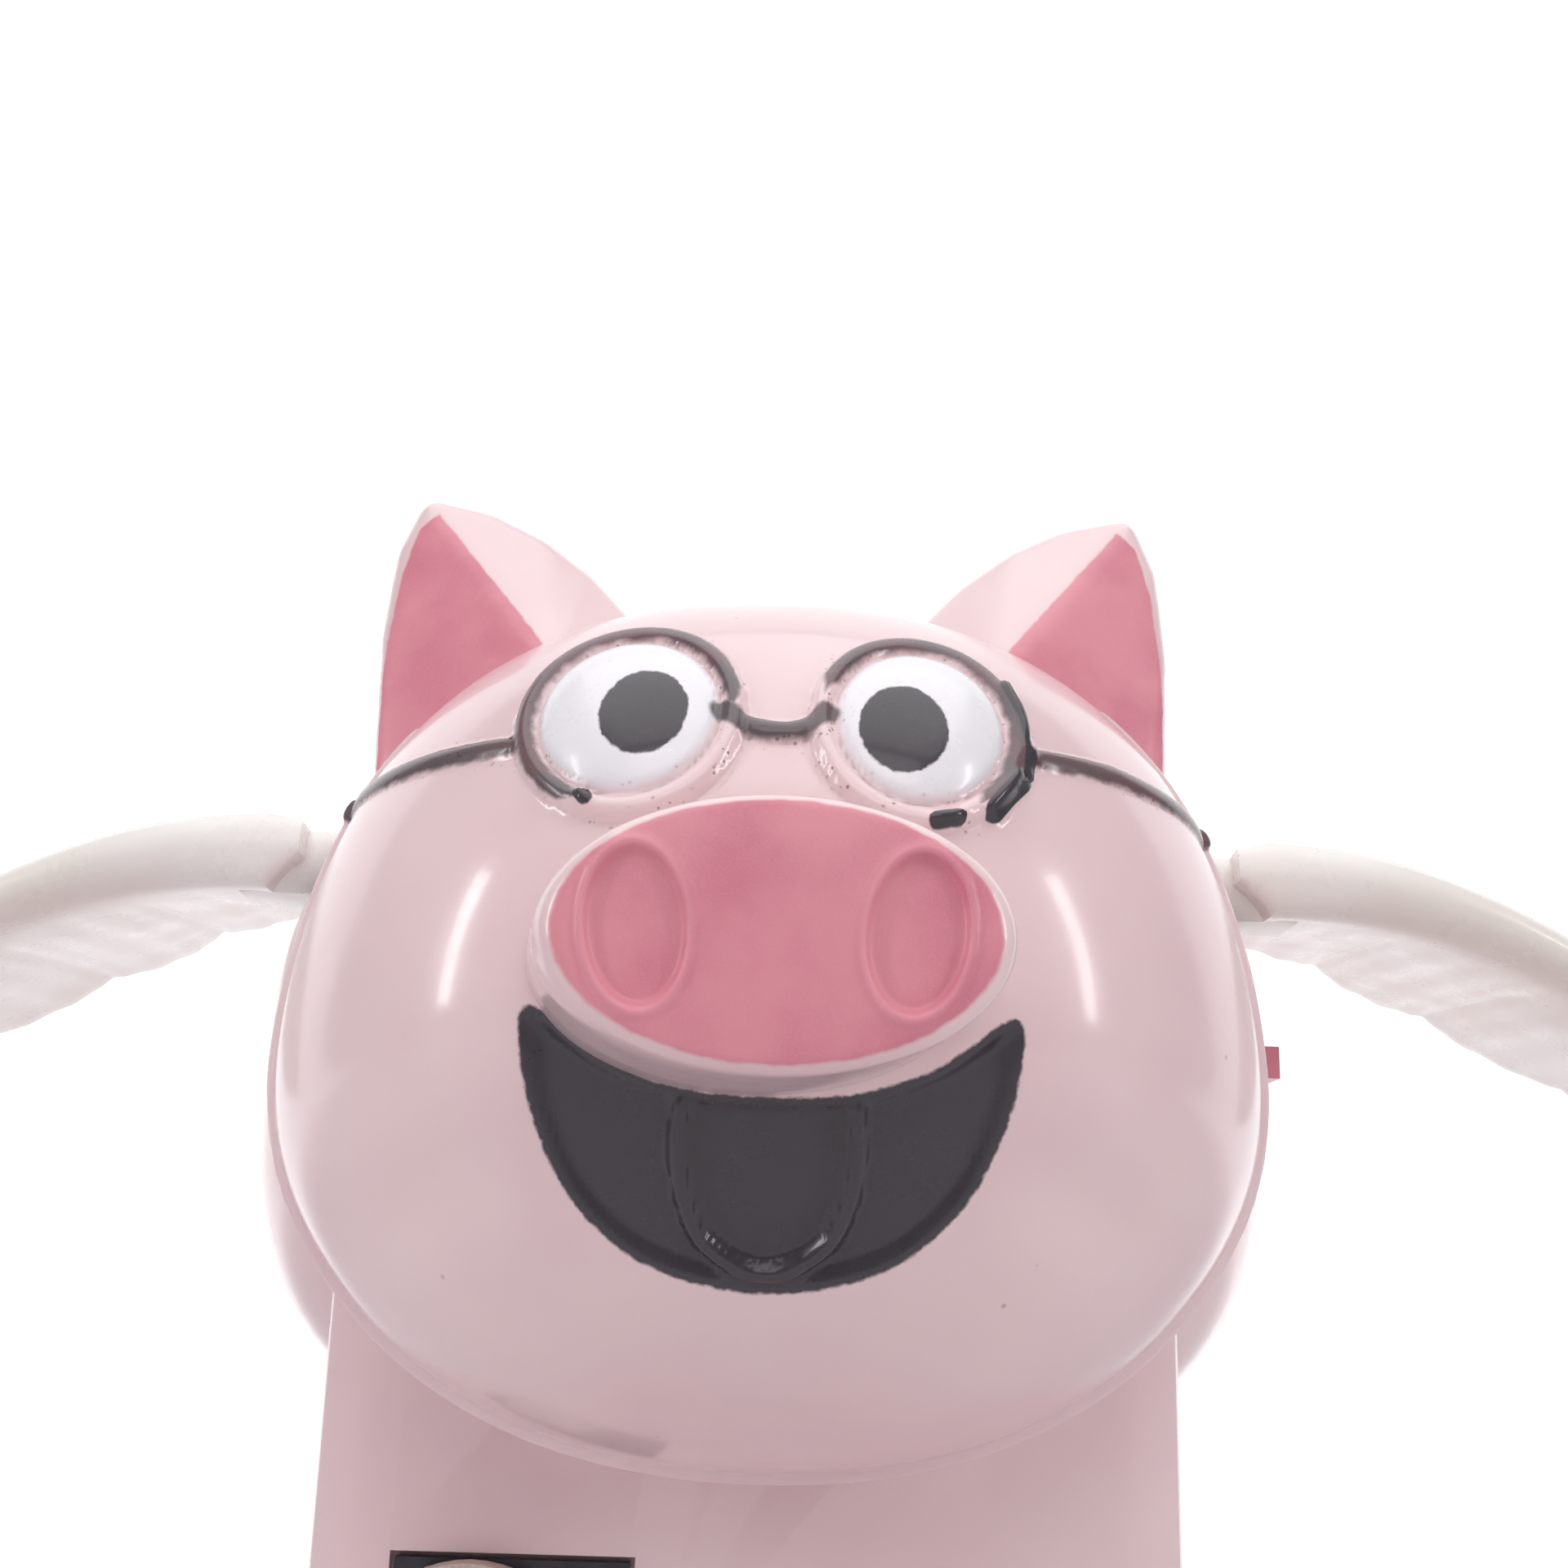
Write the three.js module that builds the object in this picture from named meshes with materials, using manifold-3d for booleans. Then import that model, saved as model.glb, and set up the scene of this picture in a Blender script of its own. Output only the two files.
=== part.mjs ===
// A wind-up pig with flapping wings and waddling feet.
// Millimetres, +Z up, the face looks along -Y and the pig's left side is at +X.
// The origin is on the ground, under the middle of the box around the whole toy.
import * as THREE from "three";
import { ConvexGeometry } from "three/addons/geometries/ConvexGeometry.js";
import { mergeVertices } from "three/addons/utils/BufferGeometryUtils.js";
import Module from "manifold-3d";

const wasm = await Module();
wasm.setup();

// ---------------------------------------------------------------- driving dimensions

const wall = 1.6; // every moulded shell
const gap = 0.25; // between two pieces that touch
const runningGap = 0.12; // around a shaft that turns in a hole
const slideGap = 0.4; // around a piece that slides or swings in a slot

// Head: a rounded oval, parted into a face and a rear shell.
const head = { x: 0.4, y: 0, z: 66.2, halfWidth: 23.1, halfDepth: 18, halfHeight: 20, power: 2.2 };
const headPartingY = 1;
const lipHeight = 0.45; // the rim that stands out around the face shell's edge
const lipWidth = 2.2;

// Body: a barrel-shaped torso on a straight trunk, parted into a front and a rear shell.
const torso = { x: 0, y: 26, z: 65, halfWidth: 28.4, halfDepth: 22, halfHeight: 21, power: 2.8 };
const trunk = { halfWidth: 21.3, frontY: 7, rearY: 41, cornerRadius: 3.4, bottomZ: 9.6 };
const bodyPartingY = torso.y;

// Wings
const wingHinge = { x: 20, z: 77.5, frontY: 18, rearY: 25.6 };
const wing = {
  rootX: torso.halfWidth + 0.5,
  tipX: 62,
  frontY: 16.5,
  chord: 28,
  thickness: 4.4,
  rearThickness: 1.6,
  arch: 0.0158,
};
const wingSwing = 15; // degrees, up and down
const hornLength = 8;

// Clockwork: all arbors lie along X between two plates.
const gearModule = 0.5;
const teeth = { great: 40, secondPinion: 10, second: 36, crankPinion: 10, crank: 30, governorPinion: 8 };
const wheelThickness = 1.5;
const arborRadius = 1.25;
const pivotRadius = 0.8; // the thin ends of an arbor, in the plates
const pivotProud = 0.3; // how far a pivot shows outside its plate
const plateInner = 9; // half the room between the plates
const plateThickness = 1;
const springAxis = { y: 33, z: 68.7 };
const crankThrow = 4.2;
const wingThrow = hornLength * Math.sin((wingSwing * Math.PI) / 180);

// Feet
const foot = { x: 12.2, y: 18, halfWidth: 9.2, halfLength: 22, height: 7.5 };
const footPivotZ = 17;
const footShaftRadius = 1.25;

// Start and stop switch on the chest
const brake = { x: -12.9, z: 38.2, travel: 3.4, knobHalfWidth: 2.9, knobHalfHeight: 3.2 };
const slot = { left: -16.6, right: -5.5, bottom: 34.6, top: 41.4 };

// ---------------------------------------------------------------- materials

const finish = (color, roughness, metalness = 0) => new THREE.MeshStandardMaterial(
  { color, roughness, metalness },
);
const palePink = finish(0xf0cdd2, 0.25);
const darkPink = finish(0xdc7f92, 0.4);
const white = finish(0xf4f0ec, 0.35);
const black = finish(0x2a272b, 0.3);
const cream = finish(0xcdb9af, 0.45);
const steel = finish(0xb4b6ba, 0.3, 1);
const brass = finish(0xc9a75a, 0.3, 1);
const nylon = finish(0xe8e6de, 0.5);

// ---------------------------------------------------------------- solids

function solid(geometry) {
  const bare = geometry.index ? geometry.toNonIndexed() : geometry.clone();
  bare.deleteAttribute("normal");
  bare.deleteAttribute("uv");
  const merged = mergeVertices(bare, 1e-4);
  const mesh = {
    numProp: 3,
    vertProperties: merged.attributes.position.array,
    triVerts: new Uint32Array(merged.index.array),
  };
  return new wasm.Manifold(new wasm.Mesh(mesh));
}

function geometryOf(body) {
  const mesh = body.getMesh();
  const geometry = new THREE.BufferGeometry();
  geometry.setAttribute("position", new THREE.BufferAttribute(mesh.vertProperties, 3));
  geometry.setIndex(new THREE.BufferAttribute(mesh.triVerts, 1));
  const flat = geometry.toNonIndexed();
  flat.computeVertexNormals();
  return flat;
}

const group = new THREE.Group();

function add(name, material, shape) {
  const mesh = new THREE.Mesh(shape.isBufferGeometry ? shape : geometryOf(shape), material);
  mesh.name = name;
  group.add(mesh);
}

const union = (first, ...rest) => rest.reduce((sum, each) => sum.add(each), first);
const cut = (first, ...rest) => rest.reduce((left, each) => left.subtract(each), first);

// A box between two corners.
function box(x0, x1, y0, y1, z0, z1) {
  const geometry = new THREE.BoxGeometry(Math.abs(x1 - x0), Math.abs(y1 - y0), Math.abs(z1 - z0));
  return solid(geometry.translate((x0 + x1) / 2, (y0 + y1) / 2, (z0 + z1) / 2));
}

// Everything in front of, behind, or in a slice across the toy, for parting a shell.
const beyond = 130;
const inFrontOf = (y) => box(-beyond, beyond, -beyond, y, -beyond, beyond);
const behind = (y) => box(-beyond, beyond, y, beyond, -beyond, beyond);

// A round bar along X from x0 to x1, or along Y from y0 to y1.
function barX(x0, x1, y, z, radius, sides = 20) {
  const geometry = new THREE.CylinderGeometry(radius, radius, Math.abs(x1 - x0), sides);
  return solid(geometry.rotateZ(Math.PI / 2).translate((x0 + x1) / 2, y, z));
}

function barY(x, y0, y1, z, radius, sides = 16) {
  const geometry = new THREE.CylinderGeometry(radius, radius, Math.abs(y1 - y0), sides);
  return solid(geometry.translate(x, (y0 + y1) / 2, z));
}

// An outline drawn in Y and Z, made into a plate from x0 to x1.
function plateX(outline, x0, x1, holes = []) {
  const shape = new THREE.Shape(outline);
  holes.forEach((hole) => shape.holes.push(new THREE.Path(hole)));
  const geometry = new THREE.ExtrudeGeometry(
    shape,
    { depth: x1 - x0, bevelEnabled: false, curveSegments: 1 },
  );
  const alongX = new THREE.Matrix4().makeBasis(
    new THREE.Vector3(0, 1, 0),
    new THREE.Vector3(0, 0, 1),
    new THREE.Vector3(1, 0, 0),
  );
  return solid(geometry.applyMatrix4(alongX).translate(x0, 0, 0));
}

// An outline drawn in X and Z, made into a plate from y0 to y1.
function plateY(outline, y0, y1) {
  const geometry = new THREE.ExtrudeGeometry(
    new THREE.Shape(outline),
    { depth: y1 - y0, bevelEnabled: false },
  );
  return solid(geometry.rotateX(Math.PI / 2).translate(0, y1, 0));
}

// A sphere swollen towards a box: power 2 is an ellipsoid, a larger power is fuller at the shoulders.
// Its poles lie along Y.
function rounded(form, grow, around, down) {
  const geometry = new THREE.SphereGeometry(1, around, down);
  const place = geometry.attributes.position;
  for (let i = 0; i < place.count; i += 1) {
    const p = [place.getX(i), place.getY(i), place.getZ(i)];
    const size = p.reduce((sum, v) => sum + Math.abs(v) ** form.power, 0) ** (1 / form.power);
    place.setXYZ(
      i,
      form.x + (p[0] / size) * (form.halfWidth + grow),
      form.y + (p[1] / size) * (form.halfDepth + grow),
      form.z + (p[2] / size) * (form.halfHeight + grow),
    );
  }
  return solid(geometry);
}

const circle = (y, z, radius, sides = 20) =>
  Array.from({ length: sides }, (_, i) => {
    const turn = (i / sides) * 2 * Math.PI;
    return new THREE.Vector2(y + radius * Math.cos(turn), z + radius * Math.sin(turn));
  });

const mirrorX = (body) => body.mirror([1, 0, 0]);

// ---------------------------------------------------------------- head

// Where a point (x, z) seen from the front lies on the face, and which way the surface looks there.
function onFace(x, z, grow = 0) {
  const across = Math.abs((x - head.x) / (head.halfWidth + grow)) ** head.power;
  const up = Math.abs((z - head.z) / (head.halfHeight + grow)) ** head.power;
  const deep = Math.max(0, 1 - across - up) ** (1 / head.power);
  return new THREE.Vector3(x, head.y - deep * (head.halfDepth + grow), z);
}

function faceNormal(x, z) {
  const step = 0.1;
  const alongX = onFace(x + step, z).sub(onFace(x - step, z));
  const alongZ = onFace(x, z + step).sub(onFace(x, z - step));
  return alongX.cross(alongZ).normalize();
}

// Sets a shape made around +Z down on the face, looking out.
function setOnFace(geometry, x, z, lift = 0) {
  const out = faceNormal(x, z);
  const turn = new THREE.Quaternion().setFromUnitVectors(new THREE.Vector3(0, 0, 1), out);
  const place = onFace(x, z).addScaledVector(out, lift);
  return solid(geometry.applyQuaternion(turn).translate(place.x, place.y, place.z));
}

const eye = { spread: 6, z: 76.5, radius: 4.5, bulge: 1.1 };
const rim = { radius: 4.9, thickness: 0.55 };
const mouth = { halfWidth: 9.2, cornerZ: 64.2, bottomZ: 54, topSag: 3.2, depth: 1.3, wall: 1.2, rearY: -4 };
const tongue = { halfWidth: 3.4, topZ: 60.4, bottomZ: 55.2, thickness: 0.5 };
const snout = { halfWidth: 8.6, halfHeight: 5.1, frontY: -24, rearY: -13, z: 66.2, edge: 0.6, draft: 0.03 };
const nostril = { spread: 4.95, halfWidth: 1.8, halfHeight: 2.95, depth: 0.5, tilt: 0.12 };

// The open mouth from in front: a sagging top edge between two corners, and a round bottom.
function mouthOutline(grow) {
  const shape = new THREE.Shape();
  const halfWidth = mouth.halfWidth + grow;
  const cornerZ = mouth.cornerZ + grow;
  shape.moveTo(head.x - halfWidth, cornerZ);
  shape.quadraticCurveTo(head.x, cornerZ - 2 * mouth.topSag, head.x + halfWidth, cornerZ);
  const depth = (cornerZ - mouth.bottomZ + grow) / 0.75;
  shape.bezierCurveTo(
    head.x + halfWidth, cornerZ - depth, head.x - halfWidth, cornerZ - depth, head.x - halfWidth, cornerZ,
  );
  return shape.getPoints(6).slice(0, -1);
}

// A round tube along points on the face.
function faceTube(points, thickness, steps) {
  const path = new THREE.CatmullRomCurve3(points);
  const section = new THREE.Shape().absarc(0, 0, thickness, 0, 2 * Math.PI);
  return solid(
    new THREE.ExtrudeGeometry(section, { steps, extrudePath: path, curveSegments: 2, bevelEnabled: false }),
  );
}

function glasses() {
  const parts = [];
  [-1, 1].forEach((side) => {
    const x = head.x + side * eye.spread;
    parts.push(setOnFace(new THREE.TorusGeometry(rim.radius, rim.thickness, 4, 14), x, eye.z, 0.25));
    const dome = new THREE.SphereGeometry(1, 12, 5).scale(eye.radius, eye.radius, eye.bulge);
    parts.push(setOnFace(dome, x, eye.z));
    const temple = [
      x + side * rim.radius,
      x + side * 8,
      x + side * 12.2,
    ].map((px, i) => onFace(px, eye.z - 0.8 - 0.2 * i, 0.1));
    parts.push(faceTube(temple, rim.thickness, 6));
  });
  const inner = eye.spread - rim.radius;
  const bridge = [-inner, 0, inner].map((dx) => onFace(head.x + dx, eye.z + (dx ? 0.6 : -0.4), 0.3));
  parts.push(faceTube(bridge, rim.thickness, 6));
  return parts;
}

function buildHead() {
  const outer = rounded(head, 0, 32, 14);
  const inner = rounded(head, -wall, 14, 8);
  const faceEdgeY = headPartingY - gap / 2;
  const torsoRoom = rounded(torso, gap, 28, 14);
  const trunkRoom = box(-beyond, beyond, trunk.frontY - gap, beyond, 0, torso.z);

  const lip = rounded(head, lipHeight, 32, 14)
    .intersect(box(-beyond, beyond, faceEdgeY - lipWidth, faceEdgeY, 0, beyond));
  // The face shell is thicker round the mouth, so the mouth has a floor and walls.
  const mouthPlate = (grow) => plateY(mouthOutline(grow), -beyond, mouth.rearY);
  const mouthInside = rounded(head, -wall - mouth.depth, 14, 8);
  const mouthFloor = mouthPlate(mouth.wall).intersect(outer).subtract(mouthInside);
  const mouthCut = mouthPlate(0).subtract(rounded(head, -mouth.depth, 16, 8));
  const tongueRing = faceTube(
    [[-1, 0], [-1, 0.55], [0, 1], [1, 0.55], [1, 0]].map(([side, down]) =>
      onFace(
        head.x + side * tongue.halfWidth,
        tongue.topZ - down * (tongue.topZ - tongue.bottomZ),
        -mouth.depth,
      ),
    ),
    tongue.thickness,
    16,
  );
  const skin = outer.subtract(inner).intersect(inFrontOf(faceEdgeY));
  const shell = union(skin, lip, mouthFloor).subtract(mouthCut);
  const face = union(shell, ...glasses(), tongueRing).subtract(mouthInside);

  // Half of the snout seen from the side, with a broken front edge. Its rear is cut to the face.
  const snoutProfile = [
    [0, snout.rearY],
    [1 + snout.draft, snout.rearY],
    [1, snout.frontY + snout.edge],
    [1 - snout.edge / snout.halfHeight, snout.frontY],
    [0, snout.frontY],
  ].map(([share, y]) => new THREE.Vector2(share, y));
  const snoutBody = solid(
    new THREE.LatheGeometry(snoutProfile.reverse(), 36)
      .scale(snout.halfWidth, 1, snout.halfHeight)
      .translate(head.x, 0, snout.z),
  );
  const nostrils = [-1, 1].map((side) =>
    solid(
      new THREE.CylinderGeometry(1, 1, 2 * nostril.depth, 20)
        .scale(nostril.halfWidth, 1, nostril.halfHeight)
        .rotateY(side * nostril.tilt)
        .translate(head.x + side * nostril.spread, snout.frontY, snout.z),
    ),
  );
  const peg = { radius: 2, frontY: -19, rearY: -14 };
  const snoutPeg = (grow) => barY(head.x, peg.frontY, peg.rearY, snout.z, peg.radius + grow, 12);
  const snoutPlug = union(
    cut(snoutBody, rounded(head, gap, 32, 14), ...nostrils),
    snoutPeg(0),
  );

  // The rear shell's own back wall follows the front of the body it is screwed to.
  const backWallRoom = union(
    rounded(torso, gap + wall, 16, 8),
    box(-beyond, beyond, trunk.frontY - gap - wall, beyond, 0, torso.z),
  );
  const hollow = inner.subtract(backWallRoom);
  const backShell = cut(outer, hollow).intersect(behind(headPartingY + gap / 2));
  const screws = [-1, 1].map((side) => ({ x: side * 8, z: 61 }));
  const bosses = screws.map(({ x, z }) => barY(x, -9, 12, z, 2.6, 12));
  const pilots = screws.map(({ x, z }) => barY(x, -12, 20, z, 0.9 + gap, 12));
  const rear = cut(union(backShell, ...bosses), ...pilots, torsoRoom, trunkRoom);

  add("face_shell", palePink, cut(face, snoutPeg(gap)));
  add("head_rear_shell", palePink, rear);
  add("snout", darkPink, snoutPlug);
  return { outer: rounded(head, gap + lipHeight, 32, 14), screws };
}

// An ear is a blunt three-sided horn: a painted face in front and a broad pale flank towards the crown.
// It is the convex skin over its foot on the head, its flanks and its rounded tip.
function buildEars(headRoom) {
  const tip = new THREE.Vector3(18.2, 3.4, 92.4);
  const tipRound = 1.2;
  const feet = [
    [19.6, -1.5, 76.5],
    [10.6, -3.2, 82.5],
    [7.2, 5, 83],
    [12, 11, 79],
    [18.8, 9, 76],
  ].map((p) => new THREE.Vector3(...p));
  const points = [...feet];
  [[1, 0, 0], [-1, 0, 0], [0, -1, 0], [0, 1, 0], [0, 0, 1]].forEach((way) =>
    points.push(tip.clone().addScaledVector(new THREE.Vector3(...way), tipRound)),
  );
  const flanks = [
    [20.5, 0.4, 85],
    [20.3, 6, 86],
    [20.2, 2.2, 90],
    [13.2, 4.4, 90.9],
    [13.5, 7, 89.5],
    [9.2, 5, 87.2],
  ];
  points.push(...flanks.map((p) => new THREE.Vector3(...p)));
  const left = cut(solid(new ConvexGeometry(points)), headRoom, rounded(torso, gap, 28, 14));
  add("left_ear", darkPink, left);
  add("right_ear", darkPink, mirrorX(left));
}

const headParts = buildHead();
buildEars(headParts.outer);

// ---------------------------------------------------------------- body

const gearLine = [
  // each step: how far the next arbor is, and the 3-4-5 direction it lies in
  { name: "second", reach: ((teeth.great + teeth.secondPinion) / 2) * gearModule, way: [-0.6, -0.8] },
  { name: "crank", reach: ((teeth.second + teeth.crankPinion) / 2) * gearModule, way: [-0.6, -0.8] },
  { name: "governor", reach: ((teeth.crank + teeth.governorPinion) / 2) * gearModule, way: [0.6, -0.8] },
];
const axes = { great: springAxis };
gearLine.reduce((from, { name, reach, way }) => {
  axes[name] = { y: from.y + reach * way[0], z: from.z + reach * way[1] };
  return axes[name];
}, springAxis);
const footPivot = { y: axes.crank.y, z: footPivotZ };

// Layers along X, outwards from the right hand of the motor plates.
const lifterX = [plateInner + plateThickness + slideGap, plateInner + plateThickness + slideGap + 0.9];
const discX = [lifterX[1] + 0.3 + 1, lifterX[1] + 0.3 + 2.2];
const legX = [discX[1] + 1.2, discX[1] + 2.7];

const bodyScrews = [
  { name: "left_lower_body_screw", x: 5, z: 33 },
  { name: "right_lower_body_screw", x: -5, z: 33 },
  { name: "left_upper_body_screw", x: 20.2, z: 58 },
  { name: "right_upper_body_screw", x: -20.2, z: 58 },
];
const screwSeatY = trunk.rearY - 6;
const screwHead = { radius: 2, height: 1.4 };
const shankRadius = 0.9;

function trunkBlock(shrink, bottomZ) {
  const { halfWidth, frontY, rearY, cornerRadius } = trunk;
  const shape = new THREE.Shape();
  const [x, y0, y1, r] = [halfWidth - shrink, frontY + shrink, rearY - shrink, cornerRadius - shrink];
  shape.absarc(x - r, y0 + r, r, -Math.PI / 2, 0);
  shape.absarc(x - r, y1 - r, r, 0, Math.PI / 2);
  shape.absarc(-x + r, y1 - r, r, Math.PI / 2, Math.PI);
  shape.absarc(-x + r, y0 + r, r, Math.PI, 1.5 * Math.PI);
  const geometry = new THREE.ExtrudeGeometry(
    shape,
    { depth: torso.z - bottomZ, bevelEnabled: false, curveSegments: 2 },
  );
  return solid(geometry.translate(0, 0, bottomZ));
}

const keyStemRadius = 1.9;
const keyDisc = { radius: 5, innerX: 24.6, thickness: 1.8 };
const keyPocket = { radius: keyDisc.radius + slideGap, floorX: keyDisc.innerX - slideGap };
const wingSlot = {
  x0: wingHinge.x - 2.4,
  x1: torso.halfWidth + 3.6,
  y0: wingHinge.frontY - 0.6,
  y1: wingHinge.rearY + 0.6,
  halfHeight: 4,
};

function buildBody() {
  const outer = union(rounded(torso, 0, 28, 14), trunkBlock(0, trunk.bottomZ));
  const inner = union(rounded(torso, -wall, 16, 8), trunkBlock(wall, trunk.bottomZ - 1));
  const { y, z } = springAxis;
  const cup = barX(
    keyPocket.floorX - wall,
    torso.halfWidth,
    y,
    z,
    keyPocket.radius + wall,
    16,
  ).intersect(outer);
  const pocket = barX(keyPocket.floorX, torso.halfWidth + 2, y, z, keyPocket.radius, 20);
  const keyHole = barX(10, torso.halfWidth + 2, y, z, keyStemRadius + slideGap);

  const wings = [-1, 1].map((side) =>
    box(
      side * wingSlot.x0,
      side * wingSlot.x1,
      wingSlot.y0,
      wingSlot.y1,
      wingHinge.z - wingSlot.halfHeight,
      wingHinge.z + wingSlot.halfHeight,
    ),
  );
  // A lug before and a lug behind each wing's hinge hold the ends of its pin.
  const lug = { thickness: 2, below: 2.2, above: 9 };
  const lugY = { front: wingHinge.frontY - 3, rear: wingHinge.rearY + 0.4 };
  const hingeLugs = (y) => [-1, 1].map((side) =>
    box(
      side * wingSlot.x0,
      side * (torso.halfWidth - 1.4),
      y,
      y + lug.thickness,
      wingHinge.z - lug.below,
      wingHinge.z + lug.above,
    ).intersect(outer),
  );
  const pinHoles = [-1, 1].map(
    (side) => barY(side * wingHinge.x, wingHinge.frontY - 2.6, wingHinge.rearY + 2, wingHinge.z, 0.8 + gap),
  );

  const frontHalf = inFrontOf(bodyPartingY - gap / 2);
  const rearHalf = behind(bodyPartingY + gap / 2);
  const posts = bodyScrews.map(({ x, z: pz }) => barY(x, 0, bodyPartingY, pz, 2.3, 10).intersect(outer));
  const postHoles = bodyScrews.map(
    ({ x, z: pz }) => barY(x, bodyPartingY - 11, bodyPartingY, pz, shankRadius + gap, 8),
  );
  const wells = bodyScrews.map(
    ({ x, z: pz }) => barY(x, bodyPartingY, 50, pz, screwHead.radius + 1.3, 10).intersect(outer),
  );
  const wellHoles = bodyScrews.flatMap(({ x, z: pz }) => [
    barY(x, screwSeatY, 60, pz, screwHead.radius + gap, 10),
    barY(x, bodyPartingY - 1, 60, pz, shankRadius + gap, 8),
  ]);
  const frontRests = [22, 34].map((rz) => box(-12, 12, trunk.frontY + 1, motorFrontY - gap, rz, rz + 1.5));
  const rearRests = [26, 46].map(
    (rz) => box(-12, 12, motorRearEdge(rz + 1.5) + gap, trunk.rearY - 1, rz, rz + 1.5),
  );
  const headScrewHoles = headParts.screws.map(
    (screw) => barY(screw.x, 0, 12, screw.z, shankRadius + gap, 8),
  );

  const shell = union(outer.subtract(inner), cup);
  const front = cut(
    union(shell.intersect(frontHalf), ...posts, ...hingeLugs(lugY.front), ...frontRests),
    ...postHoles, ...wings, ...pinHoles, ...headScrewHoles, switchOpening(),
    pocket, keyHole,
  ).intersect(frontHalf);
  const rear = cut(
    union(shell.intersect(rearHalf), ...wells, ...hingeLugs(lugY.rear), ...rearRests),
    ...wellHoles, ...wings, ...pinHoles, pocket, keyHole,
  ).intersect(rearHalf);
  add("body_front_shell", palePink, front);
  add("body_rear_shell", palePink, rear);

  bodyScrews.forEach(({ name, x, z: pz }) => {
    const headPart = barY(
      x,
      screwSeatY + gap,
      screwSeatY + gap + screwHead.height,
      pz,
      screwHead.radius,
      10,
    );
    const slotCut = box(x - 2, x + 2, screwSeatY + gap + 0.8, screwSeatY + 3, pz - 0.3, pz + 0.3);
    add(
      name,
      steel,
      cut(union(headPart, barY(x, bodyPartingY - 9, screwSeatY + gap + 0.2, pz, shankRadius, 8)), slotCut),
    );
  });
  headParts.screws.forEach(({ x, z: sz }) => {
    const wallInside = torso.y - torso.halfDepth + 3.4;
    const headPart = barY(x, wallInside, wallInside + screwHead.height, sz, screwHead.radius, 10);
    add(
      (x > 0 ? "left" : "right") + "_head_screw",
      steel,
      union(headPart, barY(x, -6, wallInside + 0.2, sz, shankRadius, 8)),
    );
  });
}

const legSlot = { halfLength: 5.2, x0: legX[0] - slideGap, x1: legX[1] + slideGap };

function buildBaseCover() {
  const bottom = trunk.bottomZ + 0.3;
  const plate = trunkBlock(wall + gap, bottom).intersect(box(-30, 30, 0, 60, bottom, bottom + 1.6));
  const slots = [-1, 1].map((side) =>
    box(
      side * legSlot.x0,
      side * legSlot.x1,
      footPivot.y - legSlot.halfLength,
      footPivot.y + legSlot.halfLength,
      5,
      20,
    ),
  );
  add("base_cover", palePink, cut(plate, ...slots));
}

// ---------------------------------------------------------------- clockwork

const motorFrontY = 12;
const motorRearLow = [36, 24];
const motorRearHigh = [38, 53];
const motorOutline = [
  [motorFrontY, 13.5], [26, 13.5], motorRearLow, motorRearHigh, [43, 59], [43, 72], [38, 79], [26, 79],
  [22.5, 74], [18, 71], [14.5, 63], [motorFrontY, 55],
].map(([y, z]) => new THREE.Vector2(y, z));
// How far back the plates reach at height z, between the two corners of their rear edge.
function motorRearEdge(z) {
  const share = (z - motorRearLow[1]) / (motorRearHigh[1] - motorRearLow[1]);
  return motorRearLow[0] + share * (motorRearHigh[0] - motorRearLow[0]);
}

const pillars = [
  ["lower_front_pillar", 15, 26], ["lower_rear_pillar", 32, 25],
  ["upper_rear_pillar", 39, 57.2], ["upper_front_pillar", 20, 70.5],
];
const pillarRadius = 1.5;
const tenonRadius = 0.8;

// A spur gear outline: teeth with straight flanks, a little thinner than the gaps they run in.
function gearOutline(axis, count, toothAngle) {
  const pitchRadius = (count * gearModule) / 2;
  const tip = pitchRadius + 0.8 * gearModule;
  const root = pitchRadius - 1.1 * gearModule;
  const step = (2 * Math.PI) / count;
  const corners = [[root, -0.31], [tip, -0.11], [tip, 0.11], [root, 0.31]];
  return Array.from({ length: count }, (_, i) => i).flatMap((i) =>
    corners.map(([radius, share]) => {
      const angle = toothAngle + (i + share) * step;
      return new THREE.Vector2(axis.y + radius * Math.cos(angle), axis.z + radius * Math.sin(angle));
    }),
  );
}

const bearing = (from, to) => Math.atan2(to.z - from.z, to.y - from.y);

// A wheel and the pinion it drives, in mesh: a tooth of the wheel points at a gap of the pinion.
function meshedPair(from, to, wheelTeeth, pinionTeeth) {
  const ahead = bearing(from, to);
  return {
    wheel: gearOutline(from, wheelTeeth, ahead),
    pinion: gearOutline(to, pinionTeeth, ahead + Math.PI + Math.PI / pinionTeeth),
  };
}

function wheelPlate(outline, axis, x0) {
  return plateX(outline, x0, x0 + wheelThickness, [circle(axis.y, axis.z, arborRadius + gap)]);
}

// A shaft between the plates with a thin pivot at each end.
function arbor(axis) {
  return union(
    barX(-plateInner + gap, plateInner - gap, axis.y, axis.z, arborRadius, 10),
    barX(-outerX - pivotProud, outerX + pivotProud, axis.y, axis.z, pivotRadius, 12),
  );
}

const wheelX = { great: -1.6, second: 2, crank: -4.2 };
const outerX = plateInner + plateThickness;

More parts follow.
